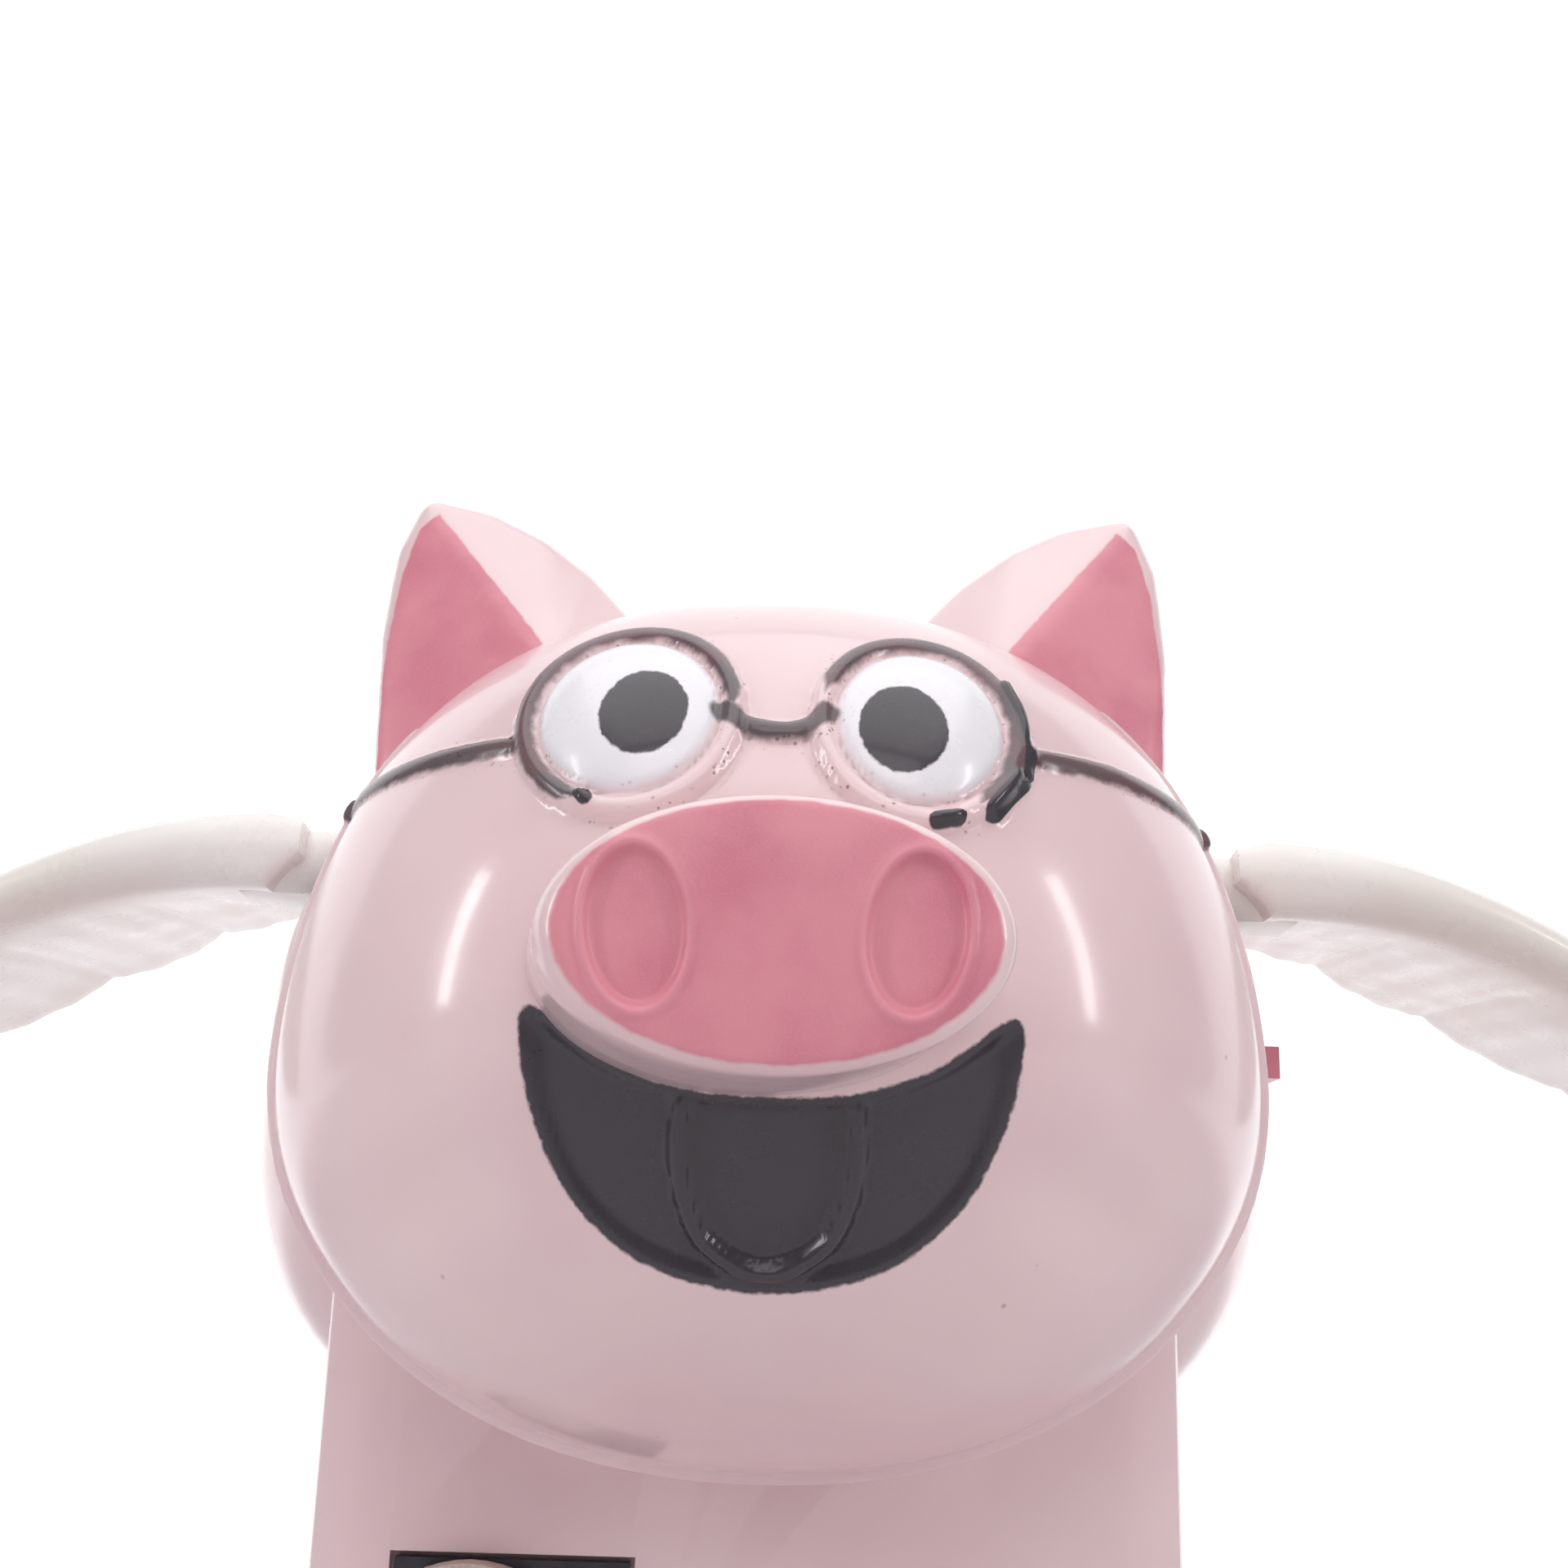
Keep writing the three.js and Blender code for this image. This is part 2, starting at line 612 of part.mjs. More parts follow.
function buildPlates() {
  const pivotHole = pivotRadius + runningGap;
  const holes = (keySide) => [
    circle(springAxis.y, springAxis.z, (keySide ? arborRadius : pivotRadius) + runningGap, 12),
    circle(axes.second.y, axes.second.z, pivotHole, 12),
    circle(axes.crank.y, axes.crank.z, arborRadius + runningGap, 16),
    circle(axes.governor.y, axes.governor.z, pivotHole, 12),
    circle(footPivot.y, footPivot.z, footShaftRadius + runningGap, 16),
    ...pillars.map(([, y, z]) => circle(y, z, tenonRadius + gap, 8)),
  ];
  add("left_motor_plate", steel, plateX(motorOutline, plateInner, outerX, holes(true)));
  add("right_motor_plate", steel, plateX(motorOutline, -outerX, -plateInner, holes(false)));
  pillars.forEach(([name, y, z]) => {
    const tenon = barX(-outerX - pivotProud, outerX + pivotProud, y, z, tenonRadius, 8);
    add(name, steel, union(barX(-plateInner + gap, plateInner - gap, y, z, pillarRadius, 12), tenon));
  });
}

// The mainspring's strip winds out from the arbor to the wall side of the plates.
function buildSpring() {
  const turns = 4.75;
  const perTurn = 11;
  const [firstRadius, pitch, strip] = [arborRadius + 0.9, 1.42, 0.42];
  const steps = Math.round(turns * perTurn);
  const along = (offset) =>
    Array.from({ length: steps + 1 }, (_, i) => {
      const turn = i / perTurn;
      const radius = firstRadius + pitch * turn + offset;
      return new THREE.Vector2(
        springAxis.y + radius * Math.cos(2 * Math.PI * turn),
        springAxis.z + radius * Math.sin(2 * Math.PI * turn),
      );
    });
  add("mainspring", steel, plateX([...along(0), ...along(strip).reverse()], -8.6, -2.6));
}

function ratchetOutline(count, root, tip) {
  return Array.from({ length: count }, (_, i) => i).flatMap((i) =>
    [[root, 0], [tip, 0.8], [tip, 0.95]].map(([radius, share]) => {
      const angle = ((i + share) / count) * 2 * Math.PI;
      return new THREE.Vector2(
        springAxis.y + radius * Math.cos(angle),
        springAxis.z + radius * Math.sin(angle),
      );
    }),
  );
}

function buildWinding() {
  const { y, z } = springAxis;
  const stemStart = outerX + 4;
  const arborEnd = keyDisc.innerX - gap;
  add("spring_arbor", steel, union(
    barX(-plateInner + gap, arborEnd, y, z, arborRadius, 12),
    barX(-outerX - pivotProud, 0, y, z, pivotRadius, 12),
  ));
  const ratchet = { tip: 3.5, root: 2.7, x0: 0.3, x1: 1.4 };
  add(
    "ratchet_wheel",
    steel,
    plateX(
      ratchetOutline(10, ratchet.root, ratchet.tip),
      ratchet.x0,
      ratchet.x1,
      [circle(y, z, arborRadius + gap, 12)],
    ),
  );
  const bar = { halfLength: 3.4, halfThickness: 1, endX: 32.2 };
  const faceX = keyDisc.innerX + keyDisc.thickness;
  const key = union(
    barX(keyDisc.innerX, faceX, y, z, keyDisc.radius, 24),
    barX(
      stemStart,
      keyDisc.innerX + 0.2,
      y,
      z,
      keyStemRadius,
      16,
    ).subtract(barX(0, arborEnd + gap, y, z, arborRadius + gap, 16)),
    box(
      faceX - 0.2,
      bar.endX,
      y - bar.halfLength,
      y + bar.halfLength,
      z - bar.halfThickness,
      z + bar.halfThickness,
    ),
  );
  add("winding_key", darkPink, key);
  const great = meshedPair(springAxis, axes.second, teeth.great, teeth.secondPinion);
  const clickPivot = { y: y + 5.6, z: z + 3.4 };
  add("great_wheel", brass, union(
    wheelPlate(great.wheel, springAxis, wheelX.great),
    barX(wheelX.great, ratchet.x1 + 0.4, clickPivot.y, clickPivot.z, 0.7, 10),
  ));
  const clickOutline = [
    [clickPivot.y - 1.3, clickPivot.z + 1.2], [clickPivot.y + 1.3, clickPivot.z + 1.2],
    [
      clickPivot.y + 1.3,
      clickPivot.z - 1.4,
    ], [y + 4.3, z - 0.9], [y + 3.85, z - 0.2], [clickPivot.y - 1.3, clickPivot.z - 1],
  ].map(([py, pz]) => new THREE.Vector2(py, pz)).reverse();
  add(
    "click",
    steel,
    plateX(
      clickOutline,
      ratchet.x0,
      ratchet.x1,
      [circle(clickPivot.y, clickPivot.z, 0.7 + runningGap, 10)],
    ),
  );
  return great.pinion;
}

function buildTrain(secondPinion) {
  const second = meshedPair(axes.second, axes.crank, teeth.second, teeth.crankPinion);
  const crank = meshedPair(axes.crank, axes.governor, teeth.crank, teeth.governorPinion);
  const pinionOver = 0.4; // how far a pinion runs past the wheel that drives it
  const pinion = (outline, x0) => plateX(outline, x0 - pinionOver, x0 + wheelThickness + pinionOver);
  add(
    "second_pinion",
    steel,
    union(arbor(axes.second), pinion(secondPinion, wheelX.great)),
  );
  add("second_wheel", brass, wheelPlate(second.wheel, axes.second, wheelX.second));
  const shaftEnd = discX[1] - gap;
  add("crankshaft", steel, union(
    barX(-shaftEnd, shaftEnd, axes.crank.y, axes.crank.z, arborRadius, 16),
    pinion(second.pinion, wheelX.second),
  ));
  add("crank_wheel", brass, wheelPlate(crank.wheel, axes.crank, wheelX.crank));
  add(
    "governor_pinion",
    steel,
    union(arbor(axes.governor), pinion(crank.pinion, wheelX.crank)),
  );
  const drum = { radius: 4.4, x0: 3, x1: 6 };
  add("governor_drum", brass, barX(drum.x0, drum.x1, axes.governor.y, axes.governor.z, drum.radius, 24)
    .subtract(barX(0, 9, axes.governor.y, axes.governor.z, arborRadius + gap, 16)));
}

const cam = { radius: 4, x: [lifterX[1] + 0.3, discX[0] + 0.1] };
const crankPin = { radius: 0.9, end: legX[0] - 0.3 };

function buildCranks() {
  const { y, z } = axes.crank;
  [1, -1].forEach((side) => {
    const disc = barX(side * discX[0], side * discX[1], y, z, crankThrow + crankPin.radius + 0.9, 24);
    const pin = barX(
      side * (discX[1] - 0.2),
      side * crankPin.end,
      y + side * crankThrow,
      z,
      crankPin.radius,
      12,
    );
    const shaftHole = barX(0, side * (discX[1] - 0.1), y, z, arborRadius + gap, 16);
    const lobe = barX(side * cam.x[0], side * cam.x[1], y + wingThrow, z, cam.radius, 24);
    const body = side > 0 ? union(disc, pin, lobe) : union(disc, pin);
    add(side > 0 ? "left_crank_disc" : "right_crank_disc", steel, body.subtract(shaftHole));
  });
}

// The lifter is a frame around the wing cam, a stem, and a crossbar whose forks hold the wings' horns.
function buildLifter() {
  const { y, z } = axes.crank;
  const window = { halfWidth: cam.radius + wingThrow + 0.3, halfHeight: cam.radius + 0.15 };
  const rimWidth = 1.5;
  const [x0, x1] = lifterX;
  const frame = box(
    x0,
    x1,
    y - window.halfWidth - rimWidth,
    y + window.halfWidth + rimWidth,
    z - window.halfHeight - rimWidth,
    z + window.halfHeight + rimWidth,
  )
    .subtract(
      box(
        x0 - 1,
        x1 + 1,
        y - window.halfWidth,
        y + window.halfWidth,
        z - window.halfHeight,
        z + window.halfHeight,
      ),
    );
  const fork = {
    reach: wingHinge.x - hornLength + 1.4,
    halfHeight: 1.9,
    halfGap: 1.05,
    y0: wingHinge.frontY,
    y1: wingHinge.frontY + 2.4,
  };
  const stem = box(x0, x1, 14, 18, z + window.halfHeight + 0.5, wingHinge.z - 1);
  const foot = box(x0, x1, 14, fork.y1, wingHinge.z - 3.4, wingHinge.z - fork.halfGap);
  const bar = box(
    -fork.reach,
    fork.reach,
    fork.y0,
    fork.y1,
    wingHinge.z - fork.halfHeight,
    wingHinge.z + fork.halfHeight,
  );
  const slots = [-1, 1].map((side) =>
    box(
      side * (fork.reach - 3.2),
      side * (fork.reach + 1),
      fork.y0 - 1,
      fork.y1 + 1,
      wingHinge.z - fork.halfGap,
      wingHinge.z + fork.halfGap,
    ),
  );
  add("wing_lifter", nylon, cut(union(frame, stem, foot, bar), ...slots));
}

// ---------------------------------------------------------------- wings

const feathers = 4;

// The wing's middle surface falls away from its crest towards the tip.
const wingMiddleZ = (x) => wingHinge.z + 0.3 - wing.arch * (x - wing.rootX - 1) ** 2;

// The trailing edge is scalloped by the feathers. The chord grows from the root and shrinks to a rounded tip.
function wingRearY(share) {
  const growth = 0.58 + 0.42 * Math.sin(0.5 * Math.PI * Math.min(1, share / 0.55));
  const taper = growth * Math.sqrt(1 - (0.93 * share) ** 4);
  const scallop = Math.abs(Math.sin(Math.PI * feathers * share)) * 1.6;
  return wing.frontY + (wing.chord - 1.6) * taper + scallop;
}

// One upright slice of the wing at x: a thick round leading edge that thins to the rear.
function wingSlice(share) {
  const x = wing.rootX + share * (wing.tipX - wing.rootX);
  const front = wing.frontY + 6 * share ** 3;
  const rear = wingRearY(share);
  const middle = wingMiddleZ(x);
  const [thick, thin] = [wing.thickness / 2, wing.rearThickness / 2].map((t) => t * (1 - 0.45 * share));
  return [
    [front, -0.4 * thick], [front + 1.6, -thick], [front + 6, -0.8 * thick], [rear, -thin],
    [rear, thin], [front + 7, thick], [front + 1.6, thick], [front, 0.4 * thick],
  ].map(([y, dz]) => new THREE.Vector3(x, y, middle + dz));
}

// A closed skin over a row of slices with the same number of points.
function loft(slices) {
  const size = slices[0].length;
  const position = slices.flat().flatMap((p) => p.toArray());
  const index = [];
  for (let s = 0; s < slices.length - 1; s += 1) {
    for (let i = 0; i < size; i += 1) {
      const [a, b] = [s * size + i, s * size + ((i + 1) % size)];
      index.push(a, b, b + size, a, b + size, a + size);
    }
  }
  const last = (slices.length - 1) * size;
  for (let i = 1; i < size - 1; i += 1) index.push(0, i + 1, i, last, last + i, last + i + 1);
  const geometry = new THREE.BufferGeometry();
  geometry.setAttribute("position", new THREE.Float32BufferAttribute(position, 3));
  return solid(geometry.setIndex(index));
}

function buildWings() {
  const steps = 13;
  const slices = Array.from({ length: steps + 1 }, (_, i) => wingSlice(i / steps));
  const blade = loft(slices);
  const { x, z, frontY, rearY } = wingHinge;
  const barrel = barY(x, frontY, rearY, z, 1.9, 16);
  const armHalf = 1.4;
  const arm = box(x, wing.rootX + 2, frontY + 0.3, rearY - 0.3, z - armHalf, z + armHalf);
  const horn = box(x - hornLength, x, frontY + 0.3, frontY + 2, z - 0.7, z + 0.7);
  const pin = { radius: 0.8, y0: frontY - 2.4, y1: rearY + 1.8 };
  const left = union(blade, barrel, arm, horn).subtract(
    barY(x, frontY - 1, rearY + 1, z, pin.radius + runningGap, 16),
  );
  add("left_wing", white, left);
  add("right_wing", white, mirrorX(left));
  add("left_wing_pin", steel, barY(x, pin.y0, pin.y1, z, pin.radius, 16));
  add("right_wing_pin", steel, barY(-x, pin.y0, pin.y1, z, pin.radius, 16));
}

// ---------------------------------------------------------------- feet

function buildFeet() {
  const form = {
    x: foot.x,
    y: foot.y,
    z: 0,
    halfWidth: foot.halfWidth,
    halfDepth: foot.halfLength,
    halfHeight: foot.height,
    power: 2.5,
  };
  const shoe = rounded(form, 0, 20, 10).intersect(box(0, 40, -20, 60, 0, 20));
  const { y, z } = footPivot;
  const legHalf = 4;
  const legTop = axes.crank.z + crankThrow + 3.6;
  const legBottom = 2.4;
  const legOutline = [
    [-legHalf, legBottom],
    [legHalf, legBottom],
    [legHalf, legTop - 1.5],
    [legHalf - 1.5, legTop],
    [-legHalf + 1.5, legTop],
    [-legHalf, legTop - 1.5],
  ]
    .map(([dy, pz]) => new THREE.Vector2(y + dy, pz));
  const slotHalf = crankPin.radius + slideGap;
  const slotEnds = [axes.crank.z - crankThrow - slotHalf, axes.crank.z + crankThrow + slotHalf];
  const crankSlot = [
    [-slotHalf, slotEnds[0]],
    [slotHalf, slotEnds[0]],
    [slotHalf, slotEnds[1]],
    [-slotHalf, slotEnds[1]],
  ]
    .map(([dy, pz]) => new THREE.Vector2(y + dy, pz));
  const leg = plateX(
    legOutline,
    legX[0],
    legX[1],
    [crankSlot, circle(y, z, footShaftRadius + runningGap, 16)],
  );
  const socket = box(
    legX[0] - gap,
    legX[1] + gap,
    y - legHalf - gap,
    y + legHalf + gap,
    legBottom - gap,
    20,
  );
  const left = shoe.subtract(socket);
  add("left_foot", palePink, left);
  add("right_foot", palePink, mirrorX(left));
  add("left_leg", nylon, leg);
  add("right_leg", nylon, mirrorX(leg));
  add("foot_shaft", steel, barX(-legX[1] - 1, legX[1] + 1, y, z, footShaftRadius, 16));
}

// ---------------------------------------------------------------- start and stop switch

const bezel = { depth: 0.9, inset: 1 };

function switchOpening() {
  return box(
    slot.left + bezel.inset,
    slot.right - bezel.inset,
    trunk.frontY - 1,
    trunk.frontY + 3,
    slot.bottom + bezel.inset,
    slot.top - bezel.inset,
  )
    .add(
      box(
        slot.left - gap,
        slot.right + gap,
        trunk.frontY - 1,
        trunk.frontY + bezel.depth,
        slot.bottom - gap,
        slot.top + gap,
      ),
    );
}

function buildSwitch() {
  const stemHalf = { x: 1.6, z: 1.6 };
  const { x, z, travel, knobHalfWidth, knobHalfHeight } = brake;
  const bezelFront = trunk.frontY - 0.1;
  const opening = box(
    x - stemHalf.x - slideGap,
    x + stemHalf.x + travel + slideGap,
    0,
    12,
    z - stemHalf.z - slideGap,
    z + stemHalf.z + slideGap,
  );
  add(
    "switch_bezel",
    black,
    box(
      slot.left,
      slot.right,
      bezelFront,
      trunk.frontY + bezel.depth - gap,
      slot.bottom,
      slot.top,
    ).subtract(opening),
  );

  // The knob's upper and lower edges are arcs, its sides are straight.
  const knob = new THREE.Shape();
  const sideHalf = knobHalfHeight - 0.7;
  knob.moveTo(x - knobHalfWidth, z - sideHalf);
  knob.quadraticCurveTo(x, z - knobHalfHeight - 0.7, x + knobHalfWidth, z - sideHalf);
  knob.lineTo(x + knobHalfWidth, z + sideHalf);
  knob.quadraticCurveTo(x, z + knobHalfHeight + 0.7, x - knobHalfWidth, z + sideHalf);
  const knobRear = bezelFront - gap;
  const stemRear = trunk.frontY + wall + 1.6;
  const flange = box(x - 3.6, x + 3.6, trunk.frontY + wall + gap, stemRear, z - 2.6, z + 2.6);
  const stem = box(
    x - stemHalf.x,
    x + stemHalf.x,
    knobRear - 0.2,
    stemRear - 0.2,
    z - stemHalf.z,
    z + stemHalf.z,
  );
  add(
    "brake_slider",
    cream,
    union(plateY(knob.getPoints(8).slice(0, -1), knobRear - 1.5, knobRear), stem, flange),
  );

  const blade = { thickness: 0.6, z0: z + 1, z1: axes.governor.z + 1, tipX: 1.6 };
  const drumFront = axes.governor.y - 4.4;
  const across = box(
    x - 2.4,
    blade.tipX,
    stemRear + gap,
    stemRear + gap + blade.thickness,
    blade.z0,
    blade.z1,
  );
  const finger = box(
    blade.tipX - blade.thickness,
    blade.tipX,
    stemRear + gap,
    drumFront - slideGap,
    blade.z1 - 2,
    blade.z1,
  );
  add("brake_finger", steel, across.add(finger));
}

// ---------------------------------------------------------------- the whole toy

buildBody();
buildBaseCover();
buildPlates();
buildSpring();
buildTrain(buildWinding());
buildCranks();
buildLifter();
buildWings();
buildFeet();
buildSwitch();

const middle = new THREE.Box3().setFromObject(group).getCenter(new THREE.Vector3());
group.position.set(-middle.x, -middle.y, 0);

export default group;
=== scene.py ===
"""Visual model of a wind-up winged pig toy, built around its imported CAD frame.

Lengths in the modelling functions are millimetres in the frame of the CAD model.
make_object turns them into metres.
"""
import math

import bmesh
import bpy
import numpy as np
from mathutils import Matrix, Vector


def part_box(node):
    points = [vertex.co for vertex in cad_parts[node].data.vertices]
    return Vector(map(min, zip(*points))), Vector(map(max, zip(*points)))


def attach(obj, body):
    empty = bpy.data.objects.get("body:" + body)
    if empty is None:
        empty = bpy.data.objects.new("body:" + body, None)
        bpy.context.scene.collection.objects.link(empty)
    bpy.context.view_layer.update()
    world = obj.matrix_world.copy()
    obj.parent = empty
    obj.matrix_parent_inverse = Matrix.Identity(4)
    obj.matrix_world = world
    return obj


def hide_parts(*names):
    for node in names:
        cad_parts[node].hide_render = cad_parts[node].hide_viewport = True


MM = 0.001

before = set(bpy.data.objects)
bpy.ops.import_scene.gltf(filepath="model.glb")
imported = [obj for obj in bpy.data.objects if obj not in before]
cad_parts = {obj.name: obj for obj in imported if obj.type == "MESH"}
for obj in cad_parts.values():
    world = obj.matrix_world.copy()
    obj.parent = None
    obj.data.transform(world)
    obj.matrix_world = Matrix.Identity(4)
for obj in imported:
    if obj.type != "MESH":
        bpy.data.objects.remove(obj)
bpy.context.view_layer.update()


# -------- measures from the frame

def box_mm(node):
    """Lowest corner, highest corner and middle of a CAD node, in millimetres."""
    low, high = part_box(node)
    low = np.array(low) / MM
    high = np.array(high) / MM
    return low, high, (low + high) / 2


def smoothstep(low, high, value):
    share = np.clip((value - low) / (high - low), 0, 1)
    return share * share * (3 - 2 * share)


TAPER_SPAN = (-0.45, 0.45)  # the share of a form's half height over which its taper comes in


class Form:
    """A superellipsoid about a centre: (|x/a|^n + |z/c|^n)^(m/n) + |y/b|^m = 1.

    The power n shapes its outline from the front, and m its depth.
    """

    def __init__(self, centre, half, power, depth_power=None, taper=0.0):
        self.centre = np.array(centre, float)
        self.half = np.array(half, float)
        self.power = power
        self.depth_power = depth_power or power
        self.taper = taper

    def outline_size(self, way):
        """How far out a direction reaches in the front view, 1 at the outline."""
        across = np.abs(way[..., 0:1]) ** self.power
        up = np.abs(way[..., 2:3]) ** self.power
        return (across + up) ** (1 / self.power)

    def point(self, way, grow=0.0):
        """The surface point that lies in each of the given directions."""
        depth = np.abs(way[..., 1:2])
        around = self.outline_size(way)
        size = (around**self.depth_power + depth**self.depth_power) ** (1 / self.depth_power)
        away = way / size * (self.half + grow)
        height = away[..., 2] / self.half[2]
        away[..., 0] *= 1 - self.taper * smoothstep(*TAPER_SPAN, height)
        return self.centre + away

    def normal(self, place):
        """Unit normals at surface points."""
        away = (place - self.centre) / self.half
        around = self.outline_size(away)
        slope = np.sign(away) * np.abs(away) ** (self.power - 1) / self.half
        slope *= np.maximum(around, 1e-9) ** (self.depth_power - self.power)
        depth = away[..., 1:2]
        slope[..., 1:2] = np.sign(depth) * np.abs(depth) ** (self.depth_power - 1) / self.half[1]
        return slope / np.linalg.norm(slope, axis=-1, keepdims=True)


LIP_HEIGHT = 0.45  # how far the rim at the face shell's rear edge stands out
LIP_WIDTH = 2.2
LIP_SLOPE = 0.45
PARTING_TO_CENTRE = 0.875
HEAD_POWER = 2.2
HEAD_DEPTH_POWER = 1.95
HEAD_TAPER = 0.06
HEAD_DEPTH = 18.0

face_low, face_high, face_middle = box_mm("face_shell")
head = Form(
    centre=(face_middle[0], face_high[1] - PARTING_TO_CENTRE, face_middle[2]),
    half=(
        (face_high[0] - face_low[0]) / 2 - LIP_HEIGHT,
        HEAD_DEPTH,
        (face_high[2] - face_low[2]) / 2 - LIP_HEIGHT,
    ),
    power=HEAD_POWER,
    depth_power=HEAD_DEPTH_POWER,
    taper=HEAD_TAPER,
)


# -------- mesh helpers

def make_object(name, points, faces, smooth=True):
    """A mesh object from points in millimetres."""
    mesh = bpy.data.meshes.new(name)
    mesh.from_pydata((np.asarray(points, float) * MM).tolist(), [], faces)
    mesh.validate()
    bm = bmesh.new()
    bm.from_mesh(mesh)
    bmesh.ops.recalc_face_normals(bm, faces=bm.faces)
    bm.to_mesh(mesh)
    bm.free()
    mesh.polygons.foreach_set("use_smooth", [smooth] * len(mesh.polygons))
    item = bpy.data.objects.new(name, mesh)
    bpy.context.scene.collection.objects.link(item)
    return item


def read_vertices(item, what):
    """The places or normals of an object's vertices, one row each."""
    values = np.empty(len(item.data.vertices) * 3)
    item.data.vertices.foreach_get(what, values)
    return values.reshape(-1, 3)


def set_attribute(item, name, values):
    """A number for each vertex, which a material reads."""
    layer = item.data.attributes.new(name, "FLOAT", "POINT")
    layer.data.foreach_set("value", np.asarray(values, np.float32))


def distance_to_line(x, z, line):
    """Distance from each (x, z) to an open line of points."""
    best = np.full(x.shape, 1e9)
    for (ax, az), (bx, bz) in zip(line[:-1], line[1:]):
        dx, dz = bx - ax, bz - az
        share = np.clip(((x - ax) * dx + (z - az) * dz) / (dx * dx + dz * dz), 0, 1)
        best = np.minimum(best, np.hypot(x - ax - share * dx, z - az - share * dz))
    return best


def distance_to_outline(x, z, outline):
    """Signed distance to a closed outline, negative inside."""
    ring = list(outline) + [outline[0]]
    inside = np.zeros(x.shape, bool)
    for (ax, az), (bx, bz) in zip(ring[:-1], ring[1:]):
        crosses = (az > z) != (bz > z)
        rise = bz - az if bz != az else 1e-9
        inside ^= crosses & (x < ax + (z - az) * (bx - ax) / rise)
    return np.where(inside, -1, 1) * distance_to_line(x, z, ring)


def spline(points, steps=8, closed=False):
    """A smooth line through the points (Catmull-Rom)."""
    count = len(points)
    made = []
    for i in range(count if closed else count - 1):
        if closed:
            four = [points[(i + k) % count] for k in (-1, 0, 1, 2)]
        else:
            four = [points[min(max(i + k, 0), count - 1)] for k in (-1, 0, 1, 2)]
        a, b, c, d = (np.array(p, float) for p in four)
        for s in range(steps):
            t = s / steps
            square = (2 * a - 5 * b + 4 * c - d) * t**2
            cube = (3 * b - a - 3 * c + d) * t**3
            made.append(0.5 * (2 * b + (c - a) * t + square + cube))
    if not closed:
        made.append(np.array(points[-1], float))
    return [tuple(p) for p in made]


def band(inner, outer):
    """Quads between two closed rings of as many vertices."""
    count = len(inner)
    return [(inner[i], inner[(i + 1) % count], outer[(i + 1) % count], outer[i]) for i in range(count)]


def disc_grid(count):
    """Points of a square grid mapped on the unit disc, with their quads and the boundary loop."""
    side = np.linspace(-1, 1, count + 1)
    u, v = np.meshgrid(side, side, indexing="ij")
    x = u * np.sqrt(1 - v * v / 2)
    y = v * np.sqrt(1 - u * u / 2)
    row = count + 1
    quads = [
        (i * row + j, (i + 1) * row + j, (i + 1) * row + j + 1, i * row + j + 1)
        for i in range(count)
        for j in range(count)
    ]
    loop = (
        [i * row for i in range(count)]
        + [count * row + j for j in range(count)]
        + [i * row + count for i in range(count, 0, -1)]
        + [j for j in range(count, 0, -1)]
    )
    return x.ravel(), y.ravel(), quads, loop


# -------- the face's relief
# Its fields are measured in x and z from the head's middle.

HEAD_OFFSET = (0.4, 66.2)


def on_head(x, z):
    """Coordinates from the head's middle for a point given in the toy's own x and z."""
    return x - HEAD_OFFSET[0], z - HEAD_OFFSET[1]


def line_on_head(*points):
    return [on_head(x, z) for x, z in points]


LENSES = [
    {"middle": on_head(-5.75, 76.7), "half": (4.75, 4.95), "pupil": on_head(-4.95, 76.2), "tilt": -0.2},
    {"middle": on_head(6.2, 76.5), "half": (4.45, 4.85), "pupil": on_head(5.35, 75.75), "tilt": 0.1},
]
PUPIL_HALF = (1.75, 2.0)
RIM_HALF_WIDTH = 0.42
RIM_HEIGHT = 0.55
EYE_BULGE = 0.9
BRIDGE = spline(line_on_head((-1.9, 76.6), (-0.9, 76.0), (0.4, 75.75), (1.4, 75.9), (2.4, 76.6)), 4)
TEMPLES = [
    line_on_head((-10.2, 75.5), (-14.0, 75.5), (-17.5, 75.3), (-19.6, 75.2)),
    line_on_head((10.8, 75.6), (14.6, 75.7), (18.4, 75.3), (20.2, 75.0)),
]
# Thick dabs of black paint beside the rims, each a line and its half width.
PAINT_BLOBS = [
    (line_on_head((-7.2, 72.7), (-7.0, 72.45)), 0.3),
    (line_on_head((6.6, 71.9), (7.5, 72.1)), 0.3),
    (line_on_head((9.0, 72.6), (9.6, 73.4), (10.3, 74.2)), 0.42),
    (line_on_head((9.9, 78.9), (10.5, 77.3), (10.75, 75.8), (10.6, 74.6)), 0.3),
]
BLOB_HEIGHT = 0.3
# The right half of the mouth's outline, from the middle of the upper lip to the middle of the lower.
MOUTH_HALF = [
    (0, 61.0), (3.4, 61.25), (6.4, 62.35), (9.2, 64.35), (9.45, 62.6),
    (8.9, 60.0), (7.6, 57.4), (5.4, 55.3), (2.8, 54.25), (0, 53.9),
]
MOUTH_MIDDLE_X = 0.5
MOUTH_DEPTH = 0.55
MOUTH_WALL = 0.8
TONGUE_SIDE = [(3.2, 61.4), (3.5, 59.4), (3.2, 57.2), (2.2, 55.4)]
TONGUE_EDGE = [(-x, z) for x, z in TONGUE_SIDE] + [(0, 54.5)] + TONGUE_SIDE[::-1]
TONGUE = spline([on_head(MOUTH_MIDDLE_X + x, z) for x, z in TONGUE_EDGE], 5)
TONGUE_HALF_WIDTH = 0.38
TONGUE_HEIGHT = 0.63
CHEEK = {"x": 12.5, "z": -1.0, "reach": (5.0, 6.5), "height": 0.7}
